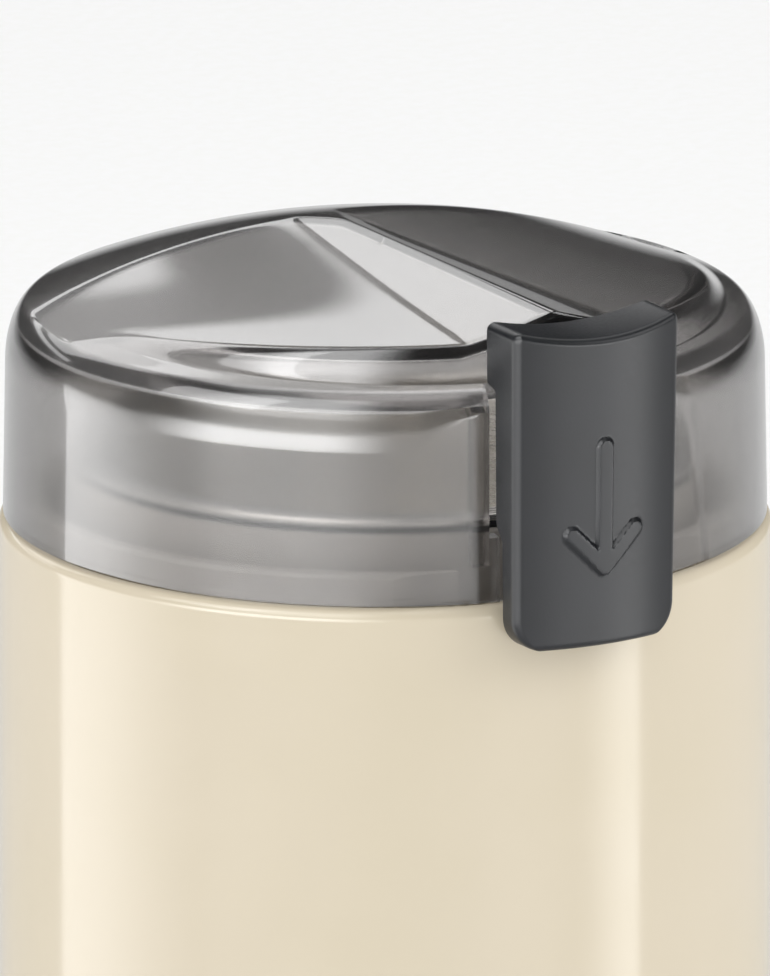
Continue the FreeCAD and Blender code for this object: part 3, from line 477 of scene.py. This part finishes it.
turns = np.linspace(0, 2 * math.pi, BODY_COLUMNS + 1)
edge_rows = EDGE * (1 - np.cos(np.linspace(0, math.pi / 2, 9)))
near_hole = np.linspace(BODY_FOOT + EDGE, 2 * INLET_HEIGHT, 48)
wall_top = BODY_TOP - EDGE
wall_rows = np.append(np.linspace(2 * INLET_HEIGHT, wall_top - EDGE_HOLD, 24)[1:], wall_top)
heights = np.concatenate([BODY_FOOT + edge_rows, near_hole[1:], wall_rows, BODY_TOP - edge_rows[::-1][1:]])
from_end = np.minimum(heights - BODY_FOOT, BODY_TOP - heights)
rounding = EDGE - np.sqrt(np.maximum(EDGE ** 2 - np.clip(EDGE - from_end, 0, EDGE) ** 2, 0))
body_outer = carried_round(np.stack([BODY_RADIUS - rounding, heights], axis=1), turns)
ledge = np.clip((heights - (LEDGE_TOP - LEDGE_HEIGHT)) / LEDGE_DEPTH, 0, 1) * (heights <= LEDGE_TOP)
body_inner = carried_round(np.stack([BODY_RADIUS - WALL - LEDGE_DEPTH * ledge, heights], axis=1), turns)
middle = (body_outer[:-1, :-1] + body_outer[1:, 1:]) / 2
in_hole = np.hypot(middle[..., 0], middle[..., 2] - INLET_HEIGHT) < INLET_HOLE
kept = ring_kept(len(heights), BODY_COLUMNS + 1) & ~(in_hole & (middle[..., 1] > 0))
points, faces = two_skins(body_outer, body_inner, kept)
seam = np.isin(faces % (BODY_COLUMNS + 1), (0, BODY_COLUMNS)).all(axis=1)
twice = seam & (np.ptp(faces % (BODY_COLUMNS + 1), axis=1) == 0)
body = new_piece("body_wall", points, faces[~twice], "cream_plastic", "housing")
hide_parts("body_shell")

# %% [markdown]
# ## Lid
# The lid is one clear smoky moulding. Its form is the lower of a dome and a bowed roof, and
# over the front half a platform stands up through the dome with a step wall round it. The
# front is cut by a flatter panel, and a slot in it lets the button's web pass. Each of these
# is a height or a radius, and the lowest or highest of them wins. A soft choice between two
# heights leaves a small round crease, as a mould does.

# %% the lid's sizes
LID_RADIUS = 43.93
LID_WALL = 2.2
LID_DRAFT = 0.017
LID_STEP = 1.0
RIM_GAP = 0.6
CROWN_RADIUS = 108.0
CROWN_HEIGHT = 32.4
SHOULDER_IN = 3.2
SHOULDER_UP = 6.6
SHOULDER_INNER = 0.6
PLATFORM = 39.6
PLATFORM_NARROW = 2.2
PANEL_RADIUS = 60.0
PANEL_PLACE = 17.55
CREST = 32.0
CREST_SLOPE = 0.3
FACET = 30.48
FACET_FALL = 0.0397
FACET_BOW = 0.0036
FACET_BOW_FALL = 0.00007
SLOT_HALF = 9.9
LIP_HALF = 8.7
LIP_TOP = 7.1
FLANGE = 1.6
FLANGE_DEPTH = 2.2
FLANGE_LOW = 3.5
FLANGE_HIGH = 21.4
CREASE = 0.12
STEP_ROUND = 1.3
STEP_ROUND_SIDE = 2.2
PLATFORM_START = 8.0
SHOULDER_SLOPE = 0.41
LEAN_AT_SHOULDER = 0.4
PANEL_HALF = 20.6
CREASE_TURN = 0.004
EDGE_STRIP = 0.05
NEAR = 0.0001
MIDDLE_CROWD = 1.5

# %% the lid's formulas
def ease(part):
    """A smooth change from 0 to 1: t^2 (3 - 2 t)."""
    return part * part * (3 - 2 * part)


def soft_max(a, b, size):
    """The higher of two heights, joined by a curve where they are nearer than about size."""
    return (a + b + np.sqrt((a - b) ** 2 + size ** 2)) / 2


def soft_min(a, b, size):
    """The lower of two heights, joined in the same way."""
    return (a + b - np.sqrt((a - b) ** 2 + size ** 2)) / 2


def panel_reach(turn, inset):
    """Distance from the axis to a cylinder of radius R about (0, p): -p cos a + sqrt(R^2 - p^2 sin^2 a)."""
    radius = PANEL_RADIUS - inset
    return -PANEL_PLACE * np.cos(turn) + np.sqrt(radius ** 2 - (PANEL_PLACE * np.sin(turn)) ** 2)


def dome_height(r, inset):
    """A sphere of radius R - inset whose top is the crown: c - R + sqrt((R - inset)^2 - r^2)."""
    return CROWN_HEIGHT - CROWN_RADIUS + np.sqrt((CROWN_RADIUS - inset) ** 2 - r ** 2)


def roof_height(x, u, inset):
    """The ridge, 32 - 0.3 |x|, or the bowed facets, f - 0.04 u - (b - c u) x^2, whichever is higher."""
    facet = FACET - inset - FACET_FALL * u - (FACET_BOW - FACET_BOW_FALL * u) * x ** 2
    return soft_max(facet, CREST - inset - CREST_SLOPE * np.sqrt(x ** 2 + CREASE ** 2), CREASE)


def step_place(turn, inset):
    """The step wall's middle and width: p - n sin^2 a and w + v sin^2 a, so it is softer at the sides."""
    side = np.sin(turn) ** 2
    return PLATFORM - inset - PLATFORM_NARROW * side, STEP_ROUND + STEP_ROUND_SIDE * side


def top_height(x, u, inset):
    """The lower of dome and roof. In front of the axis and inside the platform it is the roof."""
    r = np.hypot(x, u)
    step, width = step_place(np.arctan2(x, u), inset)
    roof = roof_height(x, u, inset)
    lower = soft_min(dome_height(r, inset), roof, CREASE)
    edge = np.clip((step - r) / width + 0.5, 0, 1)
    edge = ease(edge) * np.clip(u / PLATFORM_START + 0.5, 0, 1)
    return lower + (roof - lower) * edge


# %% [markdown]
# The grid's columns are angles round the axis. The slot's sides, its lip, its inner flanges
# and the panel's two creases get columns of their own. Its rows climb the wall, turn over the
# shoulder, cross the ledge, climb the step and run in to the middle. Near the middle they lie
# closer together, because all the columns meet there in one point of the ridge.

# %% the lid's grid
SLOT_REACH = PANEL_RADIUS - PANEL_PLACE
SLOT_TURN = math.asin(SLOT_HALF / SLOT_REACH)
LIP_TURN = math.asin(LIP_HALF / SLOT_REACH)
FLANGE_TURN = math.asin((SLOT_HALF + FLANGE) / SLOT_REACH)


def lid_turns():
    """Angles round the axis, 1 degree apart, with the slot's and the panel's own angles added."""
    flange = SLOT_HALF + FLANGE
    places = (LIP_HALF, LIP_HALF + EDGE_STRIP, SLOT_HALF, flange, flange + EDGE_STRIP)
    marks = [math.asin(x / SLOT_REACH) for x in places]
    crease = math.asin(PANEL_HALF / LID_RADIUS)
    marks += [crease - CREASE_TURN, crease, crease + CREASE_TURN]
    angles = np.concatenate([np.linspace(0, math.pi, 181), marks])
    angles = np.unique(np.round(angles, 6))
    return np.concatenate([-angles[::-1], angles[1:]])


def lid_skin(turn, inset):
    """Rows of points from the foot to the crown's middle, for one skin of the lid."""
    foot = LID_RADIUS - LID_STEP
    flange = (np.abs(turn) >= SLOT_TURN - NEAR) & (np.abs(turn) <= FLANGE_TURN + NEAR)
    inward, upward = (SHOULDER_IN, SHOULDER_UP) if inset == 0 else (SHOULDER_INNER, SHOULDER_INNER)
    end_turn = math.atan2(upward, SHOULDER_SLOPE * inward)
    end_reach = LID_RADIUS - LEAN_AT_SHOULDER - inset - inward * (1 - math.cos(end_turn))
    shoulder_start = dome_height(end_reach, inset) - upward * math.sin(end_turn)
    z_rows = np.concatenate([
        [-RIM_GAP, -0.12, 0.0, 0.12, 1.5],
        [FLANGE_LOW - EDGE_STRIP, FLANGE_LOW],
        np.linspace(4.6, LIP_TOP, 4),
        np.linspace(8.0, 17.2, 10),
        np.linspace(17.5, FLANGE_HIGH - EDGE_STRIP, 9),
        [FLANGE_HIGH],
    ])
    above = shoulder_start + upward * np.sin(np.linspace(0, end_turn, 14))
    z_rows = np.concatenate([z_rows, above[above > FLANGE_HIGH + 0.1]])
    rows = []
    for z in z_rows:
        climb = min(max((z - shoulder_start) / upward, 0.0), 1.0)
        across = inward * (1 - math.sqrt(1 - climb ** 2))
        round_wall = LID_RADIUS - inset - LID_DRAFT * z - across
        reach = np.minimum(round_wall, panel_reach(turn, inset))
        if inset == 0 and z < -EDGE_STRIP:
            reach = np.minimum(reach, foot)
        if inset > 0 and FLANGE_LOW <= z <= FLANGE_HIGH - EDGE_STRIP:
            reach = np.where(flange, reach - FLANGE_DEPTH, reach)
        rows.append((reach, np.full_like(reach, z)))
    last = rows[-1][0]
    step, width = step_place(turn, inset)
    for part in np.linspace(0, 1, 8)[1:]:
        rows.append((last + (step + width / 2 - last) * part, None))
    for part in np.linspace(0, 1, 16)[1:]:
        rows.append((step + width * (0.5 - part), None))
    for part in np.linspace(1, 0, 72)[1:] ** MIDDLE_CROWD:
        rows.append(((step - width / 2) * part, None))
    grid = []
    for reach, level in rows:
        x, u = reach * np.sin(turn), reach * np.cos(turn)
        z = top_height(x, u, inset) if level is None else level
        grid.append(np.stack([x, -u, RIM + z], axis=-1))
    return np.array(grid)


turn = lid_turns()
lid_outer = lid_skin(turn, 0.0)
lid_inner = lid_skin(turn, LID_WALL)
cell_turn = np.abs(turn[:-1] + turn[1:]) / 2
cell_height = (lid_outer[:-1, 0, 2] + lid_outer[1:, 0, 2]) / 2 - RIM
front_reach = np.linalg.norm(lid_outer[:, len(turn) // 2, :2], axis=1)
cell_reach = (front_reach[:-1] + front_reach[1:]) / 2
outside_step = cell_reach > PLATFORM + STEP_ROUND / 2 - 0.01
opening = outside_step[:, None] & (cell_turn < np.where(cell_height < LIP_TOP, LIP_TURN, SLOT_TURN)[:, None])
points, faces = two_skins(lid_outer, lid_inner, ~opening)
seam_column = np.ptp(faces % len(turn), axis=1) == 0
at_seam = np.isin(faces[:, 0] % len(turn), (0, len(turn) - 1))
lid = new_piece("lid_shell", points, faces[~(seam_column & at_seam)], "smoky_clear", "lid")
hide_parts("lid")
# Light goes through the clear lid to the bowl, so the lid casts no shadow of its own.
lid.visible_shadow = False

# %% [markdown]
# ## Button
# The button is one tall plate outside the lid and the body. Its front leans out, bows from
# side to side and ends in a small round edge, and a down arrow stands on it. All of that is
# one depth, worked out at each point of a fine grid, so the arrow's sides slope as a mould's
# do. Its back is stepped: thin below, where it passes the body, and deep above the lid.

# %% the button's sizes
HALF_LOW = 10.5
HALF_HIGH = 10.8
FRONT_LOW = 50.2
LEAN = 0.7
BOW = 30.0
PLATE_BOTTOM = RIM - 4.95
PLATE_HEIGHT = 37.95
CORNER_LOW = 3.7
CORNER_HIGH = 1.3
PLATE_EDGE = 0.9
DISH = 1.45
BACK_LOW = 45.69
BACK_MID = 44.29
BACK_TOP = 42.4
BACK_MID_START = 13.5
BACK_TOP_START = 30.4
BACK_MID_LENGTH = 2.4
BACK_TOP_LENGTH = 0.8
ARROW_HALF = 1.0
ARROW_TOP = 18.7
ARROW_TIP = 4.5
ARROW_BARB = 5.8
ARROW_PROUD = 0.48
ARROW_FOOT = 0.12
ARROW_SLOPE = 0.34

# %% the button's formulas
def run_distance(x, z, start, end):
    """Distance from each point to the straight run from start to end."""
    run = np.array(end) - np.array(start)
    part = np.clip(((x - start[0]) * run[0] + (z - start[1]) * run[1]) / (run @ run), 0, 1)
    return np.hypot(x - start[0] - part * run[0], z - start[1] - part * run[1])


def arrow_height(x, z):
    """A shaft and two barbs: full height inside the stroke, down to nothing over its sloped side."""
    barb = ARROW_BARB * math.sqrt(0.5)
    tip = (0.0, ARROW_TIP)
    near = run_distance(x, z, (0.0, ARROW_TOP), tip)
    near = np.minimum(near, run_distance(x, z, (-barb, ARROW_TIP + barb), tip))
    near = np.minimum(near, run_distance(x, z, (barb, ARROW_TIP + barb), tip))
    return ARROW_PROUD * ease(np.clip((ARROW_HALF + ARROW_FOOT - near) / ARROW_SLOPE, 0, 1))


def button_grid(columns, rows):
    """Positions x and z on the plate: rows end in rounded corners, and the top row follows the dish."""
    across = np.linspace(-1, 1, columns)
    across = np.sign(across) * (1 - (1 - np.abs(across)) ** 1.25)
    up = np.linspace(0, 1, rows)
    up = (up - np.sin(2 * math.pi * up) / (2 * math.pi) * 0.55)[:, None]
    from_low = up * PLATE_HEIGHT
    from_high = (1 - up) * PLATE_HEIGHT
    half = HALF_LOW + (HALF_HIGH - HALF_LOW) * up
    cut_low = np.clip(CORNER_LOW - from_low, 0, CORNER_LOW)
    cut_high = np.clip(CORNER_HIGH - from_high, 0, CORNER_HIGH)
    half = half - (CORNER_LOW - np.sqrt(CORNER_LOW ** 2 - cut_low ** 2))
    half = half - (CORNER_HIGH - np.sqrt(CORNER_HIGH ** 2 - cut_high ** 2))
    x = half * across
    dish = DISH * (1 - (x / HALF_HIGH) ** 2)
    z = PLATE_BOTTOM + up * (PLATE_HEIGHT - dish)
    edge = np.minimum(half - np.abs(x), np.minimum(from_low, from_high) + 0 * x)
    return x, z, up, edge


def button_skins(columns, rows):
    """Front: lean, less the bow R - sqrt(R^2 - x^2) and the edge, plus the arrow. Back: three steps."""
    x, z, up, edge = button_grid(columns, rows)
    edge_cut = np.clip(PLATE_EDGE - edge, 0, PLATE_EDGE)
    front = FRONT_LOW + LEAN * up - (BOW - np.sqrt(BOW ** 2 - x ** 2))
    front = front - (PLATE_EDGE - np.sqrt(PLATE_EDGE ** 2 - edge_cut ** 2)) + arrow_height(x, z - RIM)
    rise = z - PLATE_BOTTOM
    step_mid = np.clip((rise - BACK_MID_START) / BACK_MID_LENGTH + 0.5, 0, 1)
    step_top = np.clip((rise - BACK_TOP_START) / BACK_TOP_LENGTH + 0.5, 0, 1)
    back = BACK_LOW + (BACK_MID - BACK_LOW) * ease(step_mid) + (BACK_TOP - BACK_MID) * ease(step_top)
    return np.stack([x, -front, z], axis=-1), np.stack([x, -back, z], axis=-1)


plate_front, plate_back = button_skins(161, 261)
points, faces = two_skins(plate_front, plate_back, np.ones((260, 160), bool))
button = new_piece("button_plate", points, faces, "dark_plastic", "button")
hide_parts("press_button")

# %% [markdown]
# The web behind the plate goes through the lid's slot and joins the slide inside the body.
# It is a hollow box, open below, so it is a short profile of three walls carried from the
# slide to the plate.

# %% the button's web
WEB_HALF = 8.0
WEB_WALL = 2.0
WEB_LOW = RIM + 12.0
WEB_HIGH = RIM + 19.6
WEB_BACK = 40.5
WEB_FRONT = 46.7
WEB_ROUND = 0.6
WEB_CUT = 0.2


def carried_back(line):
    """A row of points (x, z) carried along Y, from the slide to the plate."""
    depth = np.array([WEB_BACK, WEB_FRONT])
    return np.stack([line[:, :1] + 0 * depth, -depth + 0 * line[:, :1], line[:, 1:] + 0 * depth], axis=-1)


right_side = np.array([
    (WEB_HALF - WEB_ROUND, WEB_HIGH),
    (WEB_HALF - WEB_CUT, WEB_HIGH - WEB_CUT),
    (WEB_HALF, WEB_HIGH - WEB_ROUND),
    (WEB_HALF, WEB_LOW),
])
web_line = np.concatenate([right_side[::-1] * (-1, 1), right_side])
inner_x = web_line[:, 0] * (WEB_HALF - WEB_WALL) / WEB_HALF
inner_z = np.minimum(web_line[:, 1], WEB_HIGH - WEB_WALL)
web_inner = np.stack([inner_x, inner_z], axis=1)
whole = np.ones((len(web_line) - 1, 1), bool)
points, faces = two_skins(carried_back(web_line), carried_back(web_inner), whole)
new_piece("button_web", points, faces, "dark_plastic", "button")

# %% [markdown]
# ## Bowl and foot
# Both are turned. The bowl shows through the lid and when the lid is lifted. It is deep drawn
# from steel sheet 0.8 mm thick, and its flat flange lies on a rubber gasket on the deck.

# %% the turned pieces inside
BOWL_RADIUS = 32.6
BOWL_BASE = 28.4
BOWL_FLOOR = 105.0
BOWL_RIM = 146.1
SHEET = 0.8
FLANGE_EDGE = 36.2
SEAL_NECK = 5.9
FOOT_INNER = 29.5
FOOT_OUTER = 34.0
FOOT_HEIGHT = 3.0
FOOT_ROUND = 0.8

turned_piece("bowl", "grinding_bowl", [
    (SEAL_NECK, BOWL_FLOOR, 0.2),
    (BOWL_BASE, BOWL_FLOOR, 8.0),
    (BOWL_RADIUS, BOWL_RIM, 0.8),
    (FLANGE_EDGE, BOWL_RIM, 0.3),
    (FLANGE_EDGE, BOWL_RIM - SHEET, 0.1),
    (BOWL_RADIUS + SHEET, BOWL_RIM - SHEET, 0.3),
    (BOWL_BASE + SHEET, BOWL_FLOOR - SHEET, 8.8),
    (SEAL_NECK, BOWL_FLOOR - SHEET, 0.2),
], "stainless", "housing", 192, 4.0)
turned_piece("rubber_foot", "foot_ring", [
    (FOOT_INNER, 0, FOOT_ROUND),
    (FOOT_OUTER, 0, FOOT_ROUND),
    (FOOT_OUTER, FOOT_HEIGHT, 0.1),
    (FOOT_INNER, FOOT_HEIGHT, 0.1),
], "rubber", "housing", 128)

# %% [markdown]
# ## Return spring
# The spring under the button is a round wire on a helix. A circle is carried along it: one
# direction points outward from the axis and the other points up, so the section never
# twists.

# %% return spring
SPRING_RADIUS = 2.5
SPRING_WIRE = 0.7
SPRING_TURNS = 6.0
SPRING_LOW = 104.0
SPRING_HIGH = 118.4
SPRING_PLACE = 35.0


def spring_surface(steps, around):
    """Centre (r cos t, r sin t, h t / 2 pi n) plus a circle in the outward and the upward direction."""
    t = np.linspace(0, 2 * math.pi * SPRING_TURNS, steps)[:, None]
    a = np.linspace(0, 2 * math.pi, around)[None, :]
    rise = SPRING_HIGH - SPRING_LOW - SPRING_WIRE
    reach = SPRING_RADIUS + SPRING_WIRE / 2 * np.cos(a)
    z = SPRING_LOW + SPRING_WIRE / 2 + rise * t / t[-1] + SPRING_WIRE / 2 * np.sin(a)
    return np.stack([reach * np.cos(t), reach * np.sin(t) - SPRING_PLACE, z], axis=-1)


wire = spring_surface(288, 17)
ends = np.repeat(wire[[0, -1]].mean(axis=1, keepdims=True), wire.shape[1], axis=1)
wire = np.concatenate([ends[:1], wire, ends[1:]])
faces = quads(ring_kept(*wire.shape[:2]), 0, wire.shape[1], 1)
spring = new_piece("spring_coil", wire.reshape(-1, 3), faces, "steel", "housing")
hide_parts("return_spring")
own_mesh(spring)

# %% [markdown]
# ## Floor and light
# A plain studio: a pale floor and three soft lamps. The camera and what is seen through the
# lid meet a white world. Reflections meet the same world with a dark flag over most of it, and
# bright panels at the sides, in front and high behind. The panels draw the two upright bands
# on the glossy body and the white shapes on the lid, and add nothing to the matt surfaces.

# %% floor
FLOOR_HALF = 6.0
floor_mesh = bpy.data.meshes.new("studio_floor")
floor_corners = np.array([(-1, -1, 0), (1, -1, 0), (1, 1, 0), (-1, 1, 0)], float) * FLOOR_HALF
floor_mesh.from_pydata(floor_corners.tolist(), [], [(0, 1, 2, 3)])
paper, tree, shader, place = new_finish("matt_paper", "#FCFCFB", 0.9)
mottle(tree, shader, noise(tree, place, 2.0, 4.0), "#FBFBFA", "#FDFDFD")
floor_mesh.materials.append(paper)
floor = bpy.data.objects.new("studio_floor", floor_mesh)
floor.visible_glossy = False
bpy.context.scene.collection.objects.link(floor)


# %% lamps
def softbox(name, azimuth, elevation, distance, width, height, radiance):
    """A rectangle of even light facing the lid. Its power is radiance times area times pi."""
    light = bpy.data.lights.new(name, "AREA")
    light.shape = "RECTANGLE"
    light.size = width
    light.size_y = height
    light.energy = radiance * width * height * math.pi
    lamp = bpy.data.objects.new(name, light)
    a, e = math.radians(azimuth), math.radians(elevation)
    away = Vector((math.sin(a) * math.cos(e), -math.cos(a) * math.cos(e), math.sin(e)))
    lamp.location = Vector((0, 0, RIM * MM)) + away * distance
    lamp.rotation_euler = away.to_track_quat("Z", "Y").to_euler()
    lamp.visible_camera = False
    bpy.context.scene.collection.objects.link(lamp)


softbox("softbox_left", VIEW - 60.0, 40.0, 1.6, 0.9, 0.7, 2.5)
softbox("softbox_right", VIEW + 75.0, 30.0, 1.6, 0.7, 0.8, 2.5)
softbox("softbox_above", VIEW + 175.0, 65.0, 1.6, 1.4, 1.0, 1.2)

# %% [markdown]
# ## What reflections see
# A panel is a piece of sky in the world's shader. Its place is an azimuth round Z and a
# height, both worked out from the ray's direction, and each of its edges fades over a width
# of its own. The flag is dark, and stays clear of a wedge in front, low down, where the lid's
# wall looks. The two strips and the four front panels are placed from the camera's azimuth.

# %% world
FILL = 0.70
FLAG = 0.97
STRIP_LOW = (-0.75, -0.6)
STRIP_HIGH = (0.05, -0.05)
FRONT_PANEL_LOW = (-0.215, -0.20)


def from_view(start, end):
    """Two azimuths in degrees, given as seen from the camera's own."""
    return VIEW + start, VIEW + end


def ramp(tree, value, start, end):
    """0 before start, 1 after end, and a smooth change between them. End may be below start."""
    inputs = {"Value": value, "From Min": start, "From Max": end}
    return add_node(tree, "MapRange", {"interpolation_type": "SMOOTHSTEP"}, inputs).outputs["Result"]


def product(tree, *values):
    """The product of several outputs."""
    result = values[0]
    for value in values[1:]:
        result = add_node(tree, "Math", {"operation": "MULTIPLY"}, {0: result, 1: value}).outputs[0]
    return result


def panel(tree, azimuth, height, left, right, low, high, strength):
    """A bright patch. Left and low give the start and end of a rise, right and high of a fall."""
    sides = [ramp(tree, azimuth, *np.radians(edge).tolist()) for edge in (left, right)]
    levels = [ramp(tree, height, *edge) for edge in (low, high)]
    patch = product(tree, *sides, *levels)
    return add_node(tree, "Math", {"operation": "MULTIPLY"}, {0: patch, 1: strength}).outputs[0]


world = bpy.data.worlds.new("studio")
bpy.context.scene.world = world
world.use_nodes = True
tree = world.node_tree
direction_vector = add_node(tree, "TexCoord").outputs["Generated"]
direction = add_node(tree, "SeparateXYZ", {}, {"Vector": direction_vector})
flipped = add_node(tree, "Math", {"operation": "MULTIPLY"}, {0: direction.outputs["Y"], 1: -1.0})
arms = {0: direction.outputs["X"], 1: flipped.outputs[0]}
azimuth = add_node(tree, "Math", {"operation": "ARCTAN2"}, arms).outputs[0]
height = direction.outputs["Z"]
behind = add_node(tree, "Math", {"operation": "ABSOLUTE"}, {0: azimuth}).outputs[0]
front = (math.sin(CAMERA_AZIMUTH), -math.cos(CAMERA_AZIMUTH), 0.0)
pair = {0: direction_vector, 1: front}
ahead = add_node(tree, "VectorMath", {"operation": "DOT_PRODUCT"}, pair).outputs["Value"]
dimmer = {"Value": height, "From Min": -0.12, "From Max": 0.0, "To Min": 0.35, "To Max": 1.0}
above = add_node(tree, "MapRange", {}, dimmer).outputs["Result"]
wedge = {0: ramp(tree, ahead, 0.64, 0.50), 1: ramp(tree, height, 0.05, 0.20)}
aside = add_node(tree, "Math", {"operation": "MAXIMUM"}, wedge).outputs[0]
flag = product(tree, aside, ramp(tree, height, 0.95, 0.85), above)
bright = add_node(tree, "Math", {"operation": "MULTIPLY"}, {0: flag, 1: -FLAG}).outputs[0]
panels = [
    (azimuth, from_view(-113.5, -112.5), from_view(-55.0, -98.0), STRIP_LOW, STRIP_HIGH, 2.5),
    (azimuth, from_view(58.0, 80.0), from_view(82.5, 81.5), STRIP_LOW, STRIP_HIGH, 3.4),
    (azimuth, from_view(-80.0, -50.0), from_view(5.0, -20.0), FRONT_PANEL_LOW, (0.10, 0.0), 7.0),
    (azimuth, from_view(-70.0, -40.0), from_view(5.0, -20.0), (0.0, 0.10), (0.45, 0.30), 2.0),
    (azimuth, from_view(-75.0, -45.0), from_view(5.0, -20.0), (0.30, 0.45), (0.93, 0.85), 3.8),
    (azimuth, from_view(25.0, 40.0), from_view(75.0, 65.0), FRONT_PANEL_LOW, (0.08, 0.0), 5.0),
    (behind, (149.0, 150.0), (200.0, 190.0), (0.28, 0.31), (0.368, 0.352), 1.7),
    (behind, (157.0, 159.0), (200.0, 190.0), (0.40, 0.42), (0.80, 0.75), 1.6),
]
for place, left, right, low, high, power in panels:
    patch = panel(tree, place, height, left, right, low, high, power)
    bright = add_node(tree, "Math", {"operation": "ADD"}, {0: bright, 1: patch}).outputs[0]
ray = add_node(tree, "LightPath").outputs
glow = product(tree, bright, ray["Is Glossy Ray"])
seen = ray["Is Camera Ray"]
for kind in ("Is Glossy Ray", "Is Transmission Ray"):
    seen = add_node(tree, "Math", {"operation": "MAXIMUM"}, {0: seen, 1: ray[kind]}).outputs[0]
plain = add_node(tree, "MapRange", {}, {"Value": seen, "To Min": FILL, "To Max": 1.0}).outputs["Result"]
strength = add_node(tree, "Math", {"operation": "ADD"}, {0: plain, 1: glow})
background = tree.nodes["Background"]
tree.links.new(strength.outputs[0], background.inputs["Strength"])
background.inputs["Color"].default_value = (1.0, 1.0, 1.0, 1.0)
print(len(panels), "panels and a flag")
